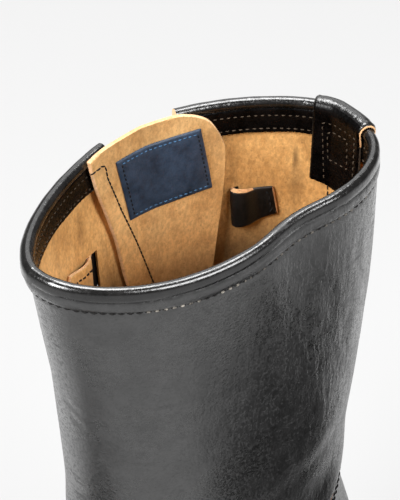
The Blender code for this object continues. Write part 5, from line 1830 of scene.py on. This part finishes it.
# %% Stitches on the patch


def label_row(corners):
    """A row on the patch through (along, drop) corners."""
    corners = np.asarray(corners, float)
    t = np.linspace(0, len(corners) - 1, 120)
    along = np.interp(t, np.arange(len(corners)), corners[:, 0])
    drop = np.interp(t, np.arange(len(corners)), corners[:, 1])
    u, level = label_place(along, drop)
    return wall_row(u, level, tongue_bow(u, level) + LABEL_OUT - LABEL + 0.45, inside=True)


IN_ALONG, IN_DROP = 0.045, 0.06   # from the patch's edges to its rows, as shares
top_row = label_row([(IN_ALONG, IN_DROP), (1 - IN_ALONG, IN_DROP)])
foot_row = label_row([(IN_ALONG, 1 - IN_DROP), (1 - IN_ALONG, 1 - IN_DROP)])
side_rows = [label_row([(a, IN_DROP), (a, 1 - IN_DROP)]) for a in (IN_ALONG, 1 - IN_ALONG)]
sew("patch_stitches_blue", [top_row, foot_row], blue_thread, pitch=2.2, girth=0.26, fill=0.75)
sew("patch_stitches_dark", side_rows, black_thread, pitch=2.2, girth=0.28, fill=0.75)

# %% [markdown]
# ## Stitches on the strap's ends
# Inside the shaft, the strap's tan end has an open box of black stitches, and the tab a short row across.
# They sit on the strap, so they are drawn in the strap's coordinates and bent with it.

# %% Stitches on the strap's ends


def strap_row(lay, corners, n):
    """A row on a strap through (a, b) corners at heights n(a), facing the inside of the boot."""
    corners = np.asarray(corners, float)
    reach = np.append(0.0, np.cumsum(np.linalg.norm(np.diff(corners, axis=0), axis=1)))
    at = np.linspace(0, reach[-1], max(2, int(reach[-1])))
    a, b = np.interp(at, reach, corners[:, 0]), np.interp(at, reach, corners[:, 1])
    path = lay(a, b, n(a))
    return path, path - lay(a, b, n(a) + 1.0)


def flap_n(a):
    return np.interp(a, top_run[:12, 0], top_run[:12, 1]) - STRAP / 2


def tab_n(a):
    return np.full_like(a, -(WALL + GAP + CHAPE) - 0.05)


flap_row = [(19.5, 5.6), (6.5, 5.6), (6.5, -5.6), (19.5, -5.6)]
flap_stitches = strap_row(top_lay, flap_row, flap_n)
sew("strap_end_stitches", [flap_stitches], black_thread, pitch=2.7, girth=0.42)
tab_row = [(BACK_SLOT + 14.5, -4.8), (BACK_SLOT + 16, -4.8), (BACK_SLOT + 16, 4.8), (BACK_SLOT + 14.5, 4.8)]
sew("tab_stitches", [strap_row(top_lay, tab_row, tab_n)], black_thread, pitch=2.7, girth=0.3)

# %% [markdown]
# ## Stitches on the foot
# Two rows follow the upper edge of the vamp and of the counter, and a coarse row of waxed thread runs in
# the welt's groove. The overlays are grids, so a row is found by measuring down from the edge. Offsetting
# the edge curve would cross itself in the tight bends.

# %% Stitches on the foot
ROWS_FROM_EDGE = (2.5, 5.5)
vamp_rows = [wall_row(*row_from_edge(vamp_u, vamp_level, d), OVERLAY_FACE) for d in ROWS_FROM_EDGE]
counter_rows = [wall_row(*row_from_edge(counter_u, counter_level, d), OVERLAY_FACE) for d in ROWS_FROM_EDGE]
sew("vamp_stitches", vamp_rows, black_thread, pitch=2.7, girth=0.4)
sew("counter_stitches", counter_rows, black_thread, pitch=2.7, girth=0.4)
closed_seam = np.concatenate([welt_seam, welt_seam[:1]])
sew(
    "welt_stitches", [(closed_seam, np.broadcast_to([0.0, 0.0, 1.0], closed_seam.shape))], waxed_thread,
    pitch=4.4, girth=0.65, fill=0.82,
)
